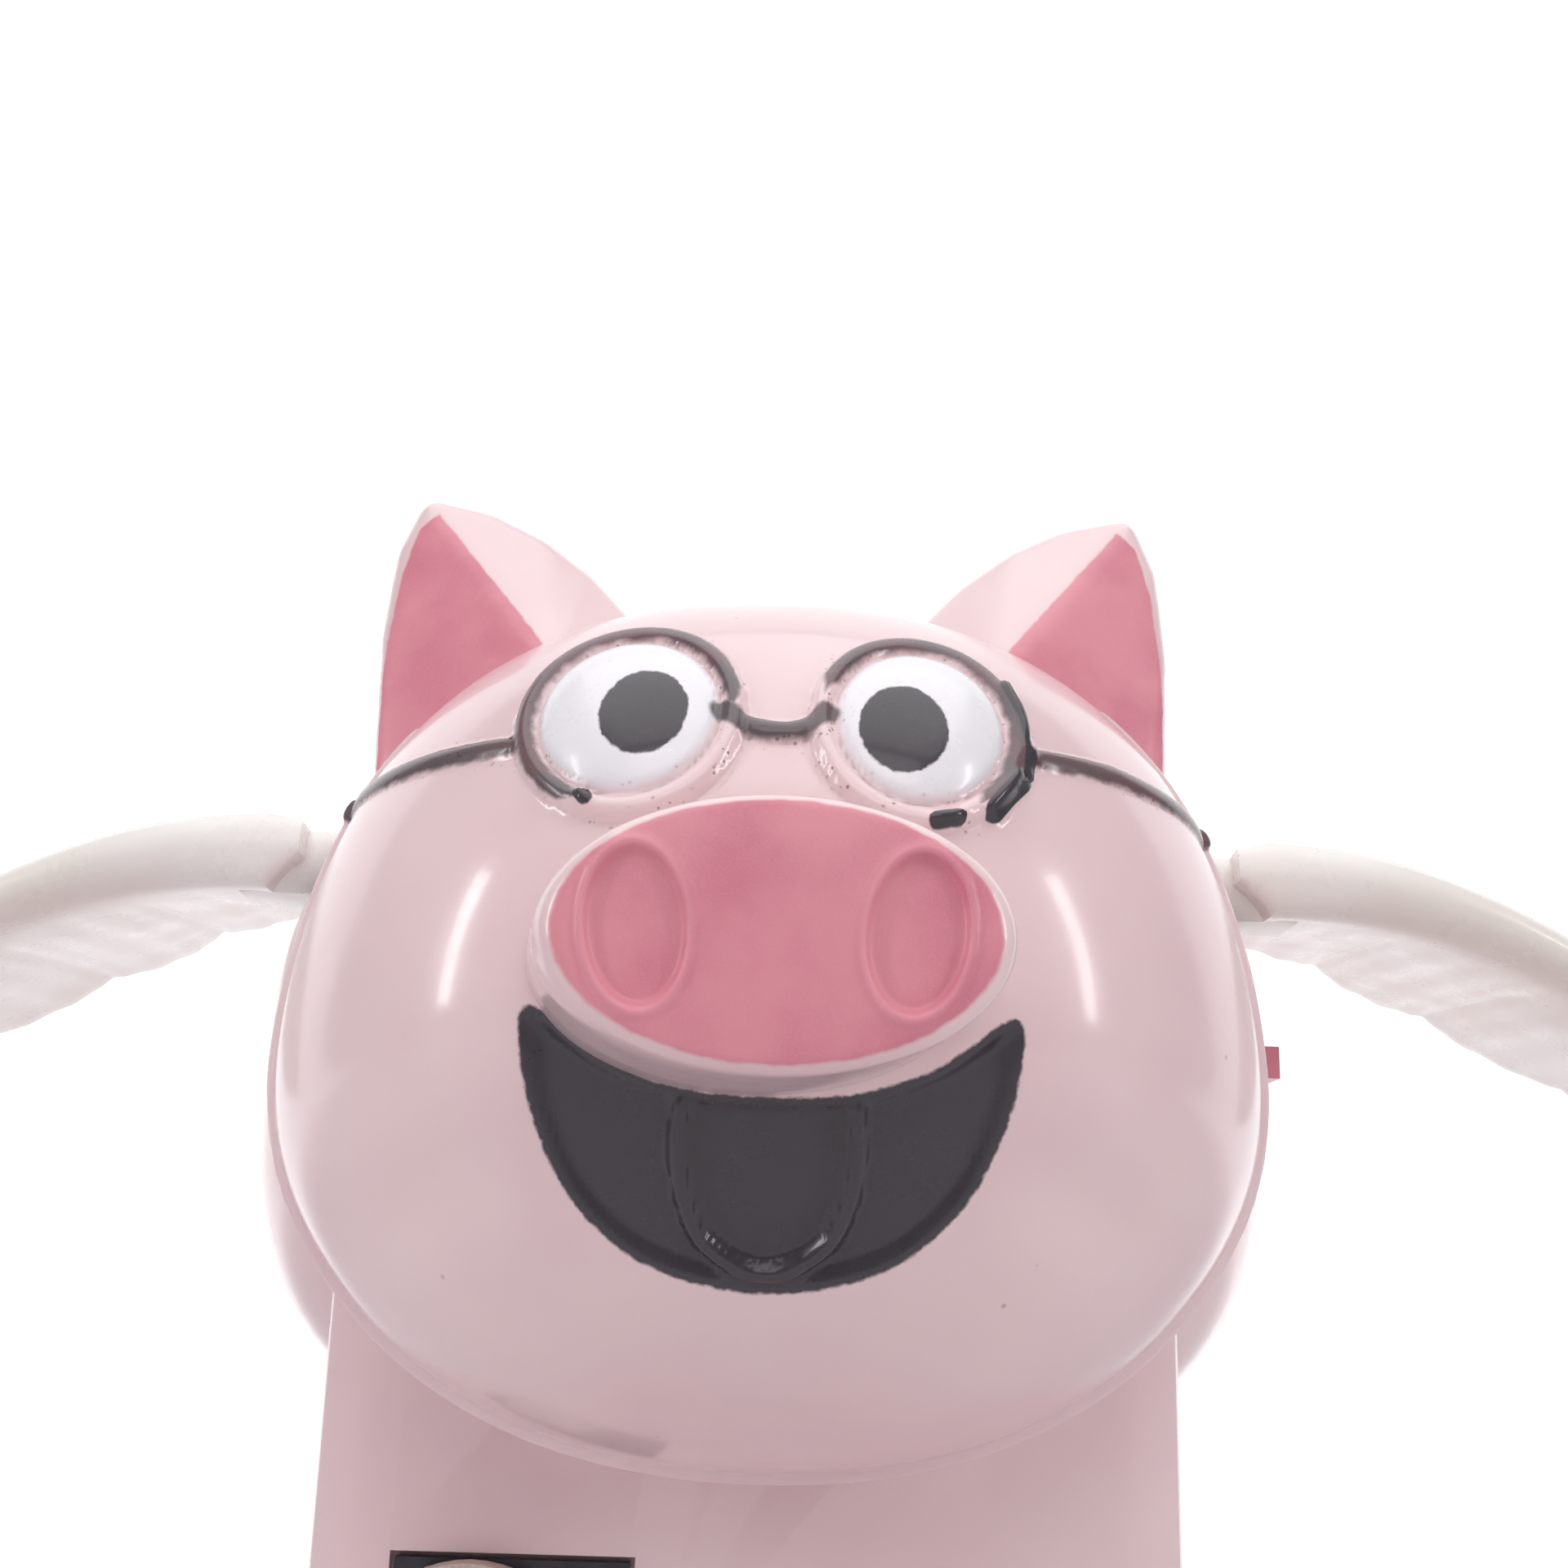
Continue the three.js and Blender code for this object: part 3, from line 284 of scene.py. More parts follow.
SMILE_FOLD = {"x": 13.6, "z": -9.0, "reach": (3.6, 2.4), "depth": 0.5, "slope": 0.35}


def mouth_outline():
    right = [on_head(MOUTH_MIDDLE_X + x, z) for x, z in MOUTH_HALF]
    left = [on_head(MOUTH_MIDDLE_X - x, z) for x, z in MOUTH_HALF[-2:0:-1]]
    return spline(right + left, 5, closed=True)


def lens_distance(lens, x, z):
    """Roughly the distance from a lens's edge, negative inside."""
    across = (x - lens["middle"][0]) / lens["half"][0]
    up = (z - lens["middle"][1]) / lens["half"][1]
    return (np.hypot(across, up) - 1) * sum(lens["half"]) / 2


def face_fields(x, z):
    """Signed distances of the face's painted and raised features at each (x, z)."""
    lenses = np.minimum(*(lens_distance(lens, x, z) for lens in LENSES))
    rims = np.abs(lenses + RIM_HALF_WIDTH)
    bridge = distance_to_line(x, z, BRIDGE)
    temples = np.minimum(*(distance_to_line(x, z, line) for line in TEMPLES))
    pupils = np.full(x.shape, 1e3)
    for lens in LENSES:
        dx, dz = x - lens["pupil"][0], z - lens["pupil"][1]
        turn = lens["tilt"]
        across = (dx * math.cos(turn) + dz * math.sin(turn)) / PUPIL_HALF[0]
        up = (dz * math.cos(turn) - dx * math.sin(turn)) / PUPIL_HALF[1]
        pupils = np.minimum(pupils, (np.hypot(across, up) - 1) * sum(PUPIL_HALF) / 2)
    left, right = LENSES
    lens_x = np.where(x < 0, left["middle"][0], right["middle"][0])
    lens_z = np.where(x < 0, left["middle"][1], right["middle"][1])
    outward = np.sign(x) * (x - lens_x)
    return {
        "blob": np.minimum.reduce([distance_to_line(x, z, line) - half for line, half in PAINT_BLOBS]),
        "mist": np.minimum.reduce([rims, bridge, temples]),
        "upness": (z - lens_z + 0.75 * outward) / left["half"][1],
        "lens": lenses,
        "rim": rims,
        "bridge": bridge,
        "temple": temples,
        "pupil": pupils,
        "mouth": distance_to_outline(x, z, mouth_outline()),
        "tongue": distance_to_line(x, z, TONGUE),
    }


def ridge(distance, half_width, height):
    """A round-topped raised line."""
    inside = np.clip(1 - (distance / half_width) ** 2, 0, 1)
    return height * np.sqrt(inside) * smoothstep(1.6 * half_width, 0.7 * half_width, distance)


def swell(x, z, reach):
    """A soft hump, 1 at its middle."""
    return np.exp(-((x / reach[0]) ** 2) - (z / reach[1]) ** 2)


def face_relief(x, z, fields):
    """How far the face's surface stands out from the plain head."""
    outside_lens = smoothstep(-0.1, 0.3, fields["lens"])
    dome_share = np.clip(-(fields["lens"] + 2 * RIM_HALF_WIDTH) / 3.2, 0, 1)
    height = EYE_BULGE * (1 - (1 - dome_share) ** 2) ** 0.5 * smoothstep(0, 0.12, dome_share)
    height += ridge(fields["rim"], 1.25 * RIM_HALF_WIDTH, RIM_HEIGHT)
    height += ridge(fields["bridge"], 1.2 * RIM_HALF_WIDTH, 0.8 * RIM_HEIGHT) * outside_lens
    height += ridge(fields["temple"], 1.2 * RIM_HALF_WIDTH, 0.5 * RIM_HEIGHT) * outside_lens
    for side in (-1, 1):
        height += CHEEK["height"] * swell(side * x - CHEEK["x"], z - CHEEK["z"], CHEEK["reach"])
        fold_x = side * x - SMILE_FOLD["x"]
        fold_z = z - SMILE_FOLD["z"] + SMILE_FOLD["slope"] * fold_x
        height -= SMILE_FOLD["depth"] * swell(fold_x, fold_z, SMILE_FOLD["reach"])
    height -= MOUTH_DEPTH * smoothstep(0, -MOUTH_WALL, fields["mouth"])
    height += BLOB_HEIGHT * smoothstep(0.12, -0.25, fields["blob"])
    inside_mouth = smoothstep(-0.2, -0.6, fields["mouth"])
    height += ridge(fields["tongue"], TONGUE_HALF_WIDTH, TONGUE_HEIGHT) * inside_mouth
    return height


FACE_GRID = 280
SHELL_WALL = 1.5
INNER_RINGS = 10


def build_face():
    """The face shell: a fine grid over the front half of the head, closed by a plain inner skin."""
    u, v, quads, loop = disc_grid(FACE_GRID)
    radius = np.hypot(u, v)
    sweep = np.clip(radius, 0, 1) * math.pi / 2
    share = np.where(radius > 0, np.sin(sweep) / np.maximum(radius, 1e-9), 1)
    way = np.stack([u * share, -np.cos(sweep), v * share], axis=-1)
    plain = head.point(way)
    x, z = plain[:, 0] - head.centre[0], plain[:, 2] - head.centre[2]
    fields = face_fields(x, z)
    before_centre = head.centre[1] - plain[:, 1]
    lip = LIP_HEIGHT * smoothstep(LIP_WIDTH, LIP_WIDTH - LIP_SLOPE, before_centre)
    outer = plain + head.normal(plain) * (face_relief(x, z, fields) + lip)[:, None]
    points = [outer]
    faces = list(quads)
    rim_way = way[loop]
    rim_out = plain[loop] + head.normal(plain[loop]) * LIP_HEIGHT
    rim_out[:, 1] = face_high[1]
    ring_start = len(outer)
    points.append(rim_out)
    previous = loop
    around = len(loop)
    current = list(range(ring_start, ring_start + around))
    for ring in range(INNER_RINGS + 1):
        faces += band(previous, current)
        if ring == INNER_RINGS:
            break
        turn = (1 - ring / INNER_RINGS) * math.pi / 2
        out = math.sin(turn)
        ahead = np.full(around, -math.cos(turn))
        direction = np.stack([rim_way[:, 0] * out, ahead, rim_way[:, 2] * out], axis=-1)
        skin = head.point(direction, -SHELL_WALL - MOUTH_DEPTH * smoothstep(0, 3, ring))
        if ring == 0:
            skin[:, 1] = face_high[1]
        previous = current
        ring_start += around
        current = list(range(ring_start, ring_start + around))
        points.append(skin)
    faces.append(tuple(reversed(current)))
    points = np.concatenate(points)
    item = make_object("face", points, faces)
    for name, values in fields.items():
        padded = np.full(len(points), 10.0)
        padded[: len(values)] = values
        set_attribute(item, name, padded)
    return item


# -------- snout

NOSTRIL = {"spread": 4.95, "half": (1.85, 2.95), "tilt": 0.12, "depth": 0.26, "lip": 0.14}
SNOUT_GRID = 150
SNOUT_EDGE = 0.75
SNOUT_ROOT_DEPTH = 9.0
SNOUT_LEAN = 0.13


def build_snout():
    """The snout plug: an oval front with two shallow nostrils, and a side wall that runs into the face."""
    low, high, middle = box_mm("snout")
    half_x, half_z = (high[0] - low[0]) / 2 / 1.03, (high[2] - low[2]) / 2 / 1.03
    u, v, quads, loop = disc_grid(SNOUT_GRID)
    radius = np.hypot(u, v)
    x, z = u * half_x, v * half_z
    inward = (1 - radius) * (half_x + half_z) / 2
    edge = np.clip(1 - inward / SNOUT_EDGE, 0, 1)
    y = low[1] + SNOUT_EDGE * (1 - np.sqrt(1 - 0.97 * edge**2)) + 0.25 * radius**4
    nostrils = np.full(x.shape, 1e3)
    for side in (-1, 1):
        dx = x - side * NOSTRIL["spread"]
        across = (dx * math.cos(NOSTRIL["tilt"]) - side * z * math.sin(NOSTRIL["tilt"])) / NOSTRIL["half"][0]
        up = (z * math.cos(NOSTRIL["tilt"]) + side * dx * math.sin(NOSTRIL["tilt"])) / NOSTRIL["half"][1]
        nostrils = np.minimum(nostrils, (np.hypot(across, up) - 1) * sum(NOSTRIL["half"]) / 2)
    y += NOSTRIL["depth"] * smoothstep(0, -0.3, nostrils)
    y -= NOSTRIL["lip"] * np.exp(-((nostrils - 0.12) / 0.2) ** 2)
    points = [np.stack([x + middle[0] + 0.2, y, z + middle[2]], axis=-1)]
    faces = list(quads)
    around = len(loop)
    previous = loop
    start = len(points[0])
    for depth, spread in [(1.2, 1.004), (2.5, 1.01), (5.0, 1.02), (SNOUT_ROOT_DEPTH, 1.03)]:
        ring = points[0][loop].copy()
        ring[:, 0] = middle[0] + (ring[:, 0] - middle[0]) * spread - SNOUT_LEAN * depth
        ring[:, 2] = middle[2] + (ring[:, 2] - middle[2]) * spread
        ring[:, 1] = low[1] + depth
        points.append(ring)
        current = list(range(start, start + around))
        faces += band(previous, current)
        previous = current
        start += around
    faces.append(tuple(reversed(previous)))
    points = np.concatenate(points)
    item = make_object("snout_plug", points, faces)
    paint = np.full(len(points), 3.0)
    paint[: len(inward)] = 0.42 - inward
    set_attribute(item, "paint_edge", paint)
    side = np.full(len(points), 5.0)
    side[: len(nostrils)] = nostrils
    set_attribute(item, "nostril", side)
    return item


# -------- cut and joined solids

def form_object(name, form, grow, around=112, down=56):
    """A closed superellipsoid with its poles along Y."""
    turns = np.arange(around) * 2 * math.pi / around
    points = [form.point(np.array([0.0, -1.0, 0.0]), grow)]
    for k in range(1, down):
        tilt = k * math.pi / down
        out = math.sin(tilt)
        ahead = np.full(around, -math.cos(tilt))
        way = np.stack([np.cos(turns) * out, ahead, np.sin(turns) * out], axis=-1)
        points += list(form.point(way, grow))
    points.append(form.point(np.array([0.0, 1.0, 0.0]), grow))
    last = len(points) - 1
    faces = []
    for i in range(around):
        j = (i + 1) % around
        faces.append((0, 1 + j, 1 + i))
        faces.append((last, last - around + i, last - around + j))
        for k in range(down - 2):
            a, b = 1 + k * around, 1 + (k + 1) * around
            faces.append((a + i, a + j, b + j, b + i))
    return make_object(name, points, faces)


def prism_object(name, outline, low, high, axis):
    """A closed prism over an outline of two coordinates, between two places along the given axis."""
    count = len(outline)
    points = []
    for place in (low, high):
        for p, q in outline:
            points.append({"x": (place, p, q), "y": (p, place, q), "z": (p, q, place)}[axis])
    faces = [tuple(range(count)), tuple(range(2 * count - 1, count - 1, -1))]
    faces += [(i, (i + 1) % count, count + (i + 1) % count, count + i) for i in range(count)]
    return make_object(name, points, faces, smooth=False)


def block(name, low, high):
    outline = [(low[0], low[1]), (high[0], low[1]), (high[0], high[1]), (low[0], high[1])]
    return prism_object(name, outline, low[2], high[2], "z")


def circle_outline(p, q, radius, sides=40):
    turns = [2 * math.pi * i / sides for i in range(sides)]
    return [(p + radius * math.cos(turn), q + radius * math.sin(turn)) for turn in turns]


def rounded_outline(low, high, radius, steps=10):
    """A rectangle with round corners."""
    corners = [
        (high[0] - radius, high[1] - radius),
        (low[0] + radius, high[1] - radius),
        (low[0] + radius, low[1] + radius),
        (high[0] - radius, low[1] + radius),
    ]
    outline = []
    for quarter, (x, y) in enumerate(corners):
        for s in range(steps + 1):
            turn = math.pi / 2 * (quarter + s / steps)
            outline.append((x + radius * math.cos(turn), y + radius * math.sin(turn)))
    return outline


def combine(item, operation, *others):
    """Applies a boolean with each of the other objects, which are then removed."""
    for other in others:
        change = item.modifiers.new(operation, "BOOLEAN")
        change.operation = operation
        change.object = other
        change.solver = "EXACT"
    bake_modifiers(item)
    for other in others:
        bpy.data.objects.remove(other, do_unlink=True)
    return item


def bake_modifiers(item):
    """Applies an object's modifiers to its mesh."""
    scene_now = bpy.context.evaluated_depsgraph_get()
    made = bpy.data.meshes.new_from_object(item.evaluated_get(scene_now))
    old = item.data
    item.modifiers.clear()
    item.data = made
    bpy.data.meshes.remove(old)


def finish_edges(item, angle=32):
    """Smooth shading that breaks at real edges."""
    item.data.polygons.foreach_set("use_smooth", [True] * len(item.data.polygons))
    item.data.set_sharp_from_angle(angle=math.radians(angle))
    return item


# -------- head rear, ears and body

WALL = 1.6
GAP = 0.25
TORSO_POWER = 2.8
TORSO_HALF_HEIGHT = 21.0
TRUNK_CORNER = 3.4
SLOT = {"inward": 2.4, "outer_x": 32, "front": 1.8, "rear": 1.2, "half_height": 4, "corner": 0.8}
KEY_POCKET = {"clearance": 0.4, "floor_x": 24.2, "cup_x": (22.6, 27.5), "outer_x": 40, "stem_radius": 2.3}
SCREW = {"well_wall": 1.3, "post_radius": 2.3, "shank_room": 1.15, "seat": 1.7}

front_low, front_high, _ = box_mm("body_front_shell")
rear_low, rear_high, _ = box_mm("body_rear_shell")
parting_y = (front_high[1] + rear_low[1]) / 2
torso = Form(
    centre=(0, parting_y, front_high[2] - TORSO_HALF_HEIGHT),
    half=(front_high[0], rear_high[1] - parting_y, TORSO_HALF_HEIGHT),
    power=TORSO_POWER,
)
cover_low, cover_high, _ = box_mm("base_cover")
COVER_INSET = WALL + GAP
trunk_low = np.array([cover_low[0] - COVER_INSET, cover_low[1] - COVER_INSET, front_low[2]])
trunk_high = np.array([cover_high[0] + COVER_INSET, cover_high[1] + COVER_INSET, torso.centre[2]])
OUTSIDE = 80.0


def trunk_object(name, shrink, bottom):
    outline = rounded_outline(trunk_low[:2] + shrink, trunk_high[:2] - shrink, TRUNK_CORNER - shrink)
    return prism_object(name, outline, bottom, trunk_high[2], "z")


def body_mass(name, shrink, bottom):
    return combine(form_object(name, torso, -shrink), "UNION", trunk_object(name + "_trunk", shrink, bottom))


def half_space(name, y_low, y_high):
    return block(name, (-OUTSIDE, y_low, -OUTSIDE), (OUTSIDE, y_high, 2 * OUTSIDE))


def bore(name, x, z, radius, y_low, y_high, sides=32):
    return prism_object(name, circle_outline(x, z, radius, sides), y_low, y_high, "y")


def wing_slots():
    """Room in the torso's sides for the wing roots, which swing up and down in it."""
    made = []
    for side in ("left", "right"):
        low, high, middle = box_mm(side + "_wing_pin")
        sign = 1 if middle[0] > 0 else -1
        x = sorted((sign * (abs(middle[0]) - SLOT["inward"]), sign * SLOT["outer_x"]))
        y = (low[1] + SLOT["front"], high[1] - SLOT["rear"])
        z = (middle[2] - SLOT["half_height"], middle[2] + SLOT["half_height"])
        outline = rounded_outline((y[0], z[0]), (y[1], z[1]), SLOT["corner"], 4)
        made.append(prism_object(side + "_slot", outline, x[0], x[1], "x"))
    return made


def pocket_radius():
    low, high, _ = box_mm("winding_key")
    return (high[2] - low[2]) / 2 + KEY_POCKET["clearance"]


def key_rooms():
    """The round pocket around the key's disc and the hole for its stem."""
    _, _, middle = box_mm("winding_key")
    disc = circle_outline(middle[1], middle[2], pocket_radius(), 64)
    stem = circle_outline(middle[1], middle[2], KEY_POCKET["stem_radius"])
    pocket = prism_object("pocket", disc, KEY_POCKET["floor_x"], KEY_POCKET["outer_x"], "x")
    hole = prism_object("stem_hole", stem, 10, KEY_POCKET["outer_x"], "x")
    return [pocket, hole]


def switch_rooms():
    """The recess for the switch's frame and the window behind it."""
    low, high, _ = box_mm("switch_bezel")
    recess = block("recess", (low[0] - GAP, low[1] - 1, low[2] - GAP), high + GAP)
    window = block("window", (low[0] + 1, low[1] - 1, low[2] + 1), (high[0] - 1, low[1] + 4, high[2] - 1))
    return [recess, window]


def build_body():
    """The two hollow body halves, with the slots, pocket, window and screw wells cut through them."""
    _, _, key = box_mm("winding_key")
    cup_outline = circle_outline(key[1], key[2], pocket_radius() + WALL, 64)
    cup = prism_object("cup", cup_outline, *KEY_POCKET["cup_x"], "x")
    outer = body_mass("outer", 0, trunk_low[2])
    shell = combine(outer, "DIFFERENCE", body_mass("inner", WALL, trunk_low[2] - 1))
    shell = combine(shell, "UNION", cup)
    screw_boxes = [box_mm(name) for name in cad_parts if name.endswith("body_screw")]
    posts, wells, head_rooms, shank_rooms = [], [], [], []
    for low, high, (x, _, z) in screw_boxes:
        radius = (high[0] - low[0]) / 2
        wells.append(bore("well", x, z, radius + SCREW["well_wall"], parting_y, trunk_high[1] - 0.5))
        posts.append(bore("post", x, z, SCREW["post_radius"], low[1], parting_y))
        head_rooms.append(bore("head_room", x, z, radius + GAP, high[1] - SCREW["seat"], OUTSIDE))
        shank_rooms.append(bore("shank_room", x, z, SCREW["shank_room"], low[1] - 0.5, OUTSIDE))
    shell = combine(shell, "UNION", *wells, *posts)
    rooms = [*head_rooms, *shank_rooms, *wing_slots(), *key_rooms(), *switch_rooms()]
    shell = combine(shell, "DIFFERENCE", *rooms)
    rear = shell.copy()
    rear.data = shell.data.copy()
    bpy.context.scene.collection.objects.link(rear)
    combine(shell, "INTERSECT", half_space("front_half", -OUTSIDE, front_high[1]))
    combine(rear, "INTERSECT", half_space("rear_half", rear_low[1], OUTSIDE))
    shell.name, rear.name = "body_front", "body_rear"
    return finish_edges(shell), finish_edges(rear)


def build_head_rear():
    """The back of the head, open to the front and hollowed to fit over the torso and trunk."""
    low, high, _ = box_mm("head_rear_shell")
    shell = combine(form_object("head_back", head, 0), "DIFFERENCE", form_object("head_inner", head, -WALL))
    front = head.centre[1] + PARTING_TO_CENTRE + GAP
    shell = combine(shell, "INTERSECT", half_space("behind", front, OUTSIDE))
    trunk_room = block("trunk_room", (-OUTSIDE, trunk_low[1] - GAP, 0), (OUTSIDE, OUTSIDE, torso.centre[2]))
    combine(shell, "DIFFERENCE", form_object("torso_room", torso, GAP), trunk_room)
    return finish_edges(shell)


EAR_VOXEL = 0.22
EAR_ROUND = 0.9
EAR_FRONT_LEAN = 0.62
# The left ear: its painted front in x and z, and its corners.
EAR_PAINT = [
    (17.5, 92.3), (11.4, 84.2), (8.0, 79.0), (14.0, 74.0),
    (19.3, 74.0), (19.2, 84.0), (19.0, 88.5), (18.4, 91.4),
]
EAR_POINTS = [
    (17.9, -8.9, 92.5), (18.2, -13.0, 77.6), (10.9, -14.6, 82.6), (18.8, -11.0, 85.0), (18.7, -9.6, 89.9),
    (6.4, -8.5, 82.0), (7.6, -7.8, 86.4), (10.2, -7.8, 89.2), (12.6, -7.9, 91.0), (15.2, -8.1, 92.2),
    (9.6, -4.8, 86.6), (13.6, -4.4, 89.4), (16.6, -5.6, 90.8),
    (18.4, -5.6, 86.0), (17.4, -3.0, 79.0), (12.0, -2.0, 80.5),
]


def build_ear(side):
    """An ear: the rounded hull of its corner points, with the distance to its painted front."""
    sign = {"left": 1, "right": -1}[side]
    bm = bmesh.new()
    for x, y, z in EAR_POINTS:
        corner = Matrix.Translation(Vector((sign * x, y, z)) * MM)
        bmesh.ops.create_icosphere(bm, subdivisions=2, radius=EAR_ROUND * MM, matrix=corner)
    hull = bmesh.ops.convex_hull(bm, input=bm.verts)
    kept = {item for item in hull["geom"] if isinstance(item, bmesh.types.BMFace)}
    bmesh.ops.delete(bm, geom=[face for face in bm.faces if face not in kept], context="FACES")
    bmesh.ops.delete(bm, geom=[v for v in bm.verts if not v.link_faces], context="VERTS")
    mesh = bpy.data.meshes.new(side + "_ear_skin")
    bm.to_mesh(mesh)
    bm.free()
    item = bpy.data.objects.new(side + "_ear_skin", mesh)
    bpy.context.scene.collection.objects.link(item)
    change = item.modifiers.new("even", "REMESH")
    change.mode = "VOXEL"
    change.voxel_size = EAR_VOXEL * MM
    soften = item.modifiers.new("soften", "SMOOTH")
    soften.iterations = 18
    soften.factor = 0.5
    bake_modifiers(item)
    item.data.polygons.foreach_set("use_smooth", [True] * len(item.data.polygons))
    places = read_vertices(item, "co") / MM
    facing = read_vertices(item, "normal")
    paint = distance_to_outline(sign * places[:, 0], places[:, 2], EAR_PAINT)
    set_attribute(item, "paint_edge", np.maximum(paint, 6 * (facing[:, 1] + EAR_FRONT_LEAN)))
    return item


# -------- wings

FEATHERS = 4
WING_SLICES = 132
WING_LOOP = 40


def wing_measures(side):
    low, high, _ = box_mm(side + "_wing")
    pin_low, pin_high, pin = box_mm(side + "_wing_pin")
    return {
        "hinge_x": abs(pin[0]),
        "hinge_z": pin[2],
        "tip_x": max(abs(low[0]), abs(high[0])),
        "front_y": low[1],
        "barrel": (pin_low[1] + 2.4, pin_high[1] - 1.8),
    }


WING_ROOT = 8.9  # from the hinge to the blade's root
WING_INSET = 2.0  # how far the blade goes on inboard of its root
INSET_STEPS = 6
INSET_NARROWING = 0.27  # share of its chord that the inboard part loses, for each millimetre
INSET_RISE = 0.45  # and of its underside's and its upper side's thickness
INSET_FALL = 0.12
ARM_HALF = 1.9
ARM_CORNER = 1.6
HORN_HALF = 0.6
HORN_LENGTH = 8.0
BARREL_RADIUS = 1.9
PIN_ROOM = 0.92
WING_CHORD = 28.0
WING_THICK = 4.4
WING_THIN = 1.6
WING_ARCH = 0.0158
SCALLOP = 1.6
GROOVE_DEPTH = 0.34


def wing_section(m, share, inset=0.0):
    """One upright slice of the wing: a thick round leading edge that thins to the rear.

    A groove runs beside each feather, with finer lines between the grooves.
    Inboard of its root the blade narrows and its underside rises, which leaves the torso room when the
    wing swings down.
    """
    x = -inset + m["hinge_x"] + WING_ROOT + share * (m["tip_x"] - m["hinge_x"] - WING_ROOT)
    middle = m["hinge_z"] + 0.3 - WING_ARCH * (x - m["hinge_x"] - WING_ROOT - 1) ** 2
    growth = 0.58 + 0.42 * math.sin(0.5 * math.pi * min(1, share / 0.55))
    taper = growth * math.sqrt(1 - (0.93 * share) ** 4)
    front = m["front_y"] + 6 * share**3
    scallop = abs(math.sin(math.pi * FEATHERS * share)) * SCALLOP
    rear = m["front_y"] + (WING_CHORD - SCALLOP) * taper + scallop
    rear = front + (rear - front) * (1 - INSET_NARROWING * inset)
    slim = 1 - 0.45 * share
    nearness = math.exp(-((math.sin(math.pi * FEATHERS * share) / 0.22) ** 2))
    groove = GROOVE_DEPTH * nearness * smoothstep(0.05, 0.15, share)
    ridge_line = 0.22 * GROOVE_DEPTH * math.cos(2 * math.pi * FEATHERS * 3 * share)
    points = []
    for i in range(WING_LOOP):
        turn = 2 * math.pi * i / WING_LOOP
        along = 0.5 - 0.5 * math.cos(turn)
        nose = math.sqrt(max(0.0, 1 - (1 - min(1, along / 0.09)) ** 2))
        tail = math.sqrt(max(0.0, 1 - max(0.0, (along - 0.965) / 0.035) ** 2))
        thickness = WING_THICK + (WING_THIN - WING_THICK) * smoothstep(0.1, 1.0, along)
        half = thickness / 2 * slim * nose * tail
        half -= (groove - ridge_line) * smoothstep(0.12, 0.4, along) * nose * tail
        if i in (0, WING_LOOP // 2):
            rise = 0
        elif i < WING_LOOP // 2:
            rise = half * (1 - INSET_FALL * inset)
        else:
            rise = -half * (1 - INSET_RISE * inset)
        points.append((x, front + along * (rear - front), middle + rise))
    return points


def build_wing(side):
    """A wing blade with its hinge barrel, arm and horn."""
    sign = {"left": 1, "right": -1}[side]
    m = wing_measures(side)
    shares = [1 - (1 - s / WING_SLICES) ** 1.15 for s in range(WING_SLICES)] + [1.0]
    slices = [wing_section(m, 0, WING_INSET * (1 - i / INSET_STEPS)) for i in range(INSET_STEPS)]
    slices += [wing_section(m, s) for s in shares]
    points = [(sign * x, y, z) for ring in slices for x, y, z in ring]
    rings = [range(s * WING_LOOP, (s + 1) * WING_LOOP) for s in range(len(slices))]
    faces = [quad for inner, outer in zip(rings[:-1], rings[1:]) for quad in band(inner, outer)]
    faces += [tuple(rings[0]), tuple(reversed(rings[-1]))]
    blade = make_object(side + "_wing_blade", points, faces)
    y0, y1 = m["barrel"]
    hinge_x, hinge_z = m["hinge_x"], m["hinge_z"]
    barrel = bore("barrel", sign * hinge_x, hinge_z, BARREL_RADIUS, y0, y1, 48)
    arm_low = (y0 + 0.3, hinge_z - ARM_HALF)
    arm_high = (y1 - 0.3, hinge_z + ARM_HALF)
    arm_outline = rounded_outline(arm_low, arm_high, ARM_CORNER, 6)
    ends = sorted((sign * hinge_x, sign * (hinge_x + WING_ROOT + 2)))
    arm = prism_object("arm", arm_outline, ends[0], ends[1], "x")
    horn_low, horn_high = sorted((sign * (hinge_x - HORN_LENGTH), sign * hinge_x))
    horn = block("horn", (horn_low, y0 + 0.3, hinge_z - HORN_HALF), (horn_high, y0 + 2, hinge_z + HORN_HALF))
    combine(blade, "UNION", barrel, arm, horn)
    combine(blade, "DIFFERENCE", bore("pin_room", sign * hinge_x, hinge_z, PIN_ROOM, y0 - 1, y1 + 1))
    return finish_edges(blade, 40)


# -------- feet

FOOT_POWER = 2.5
TOE_CLEFT = {"depth": 1.6, "width": 0.9, "reach": 9.0}


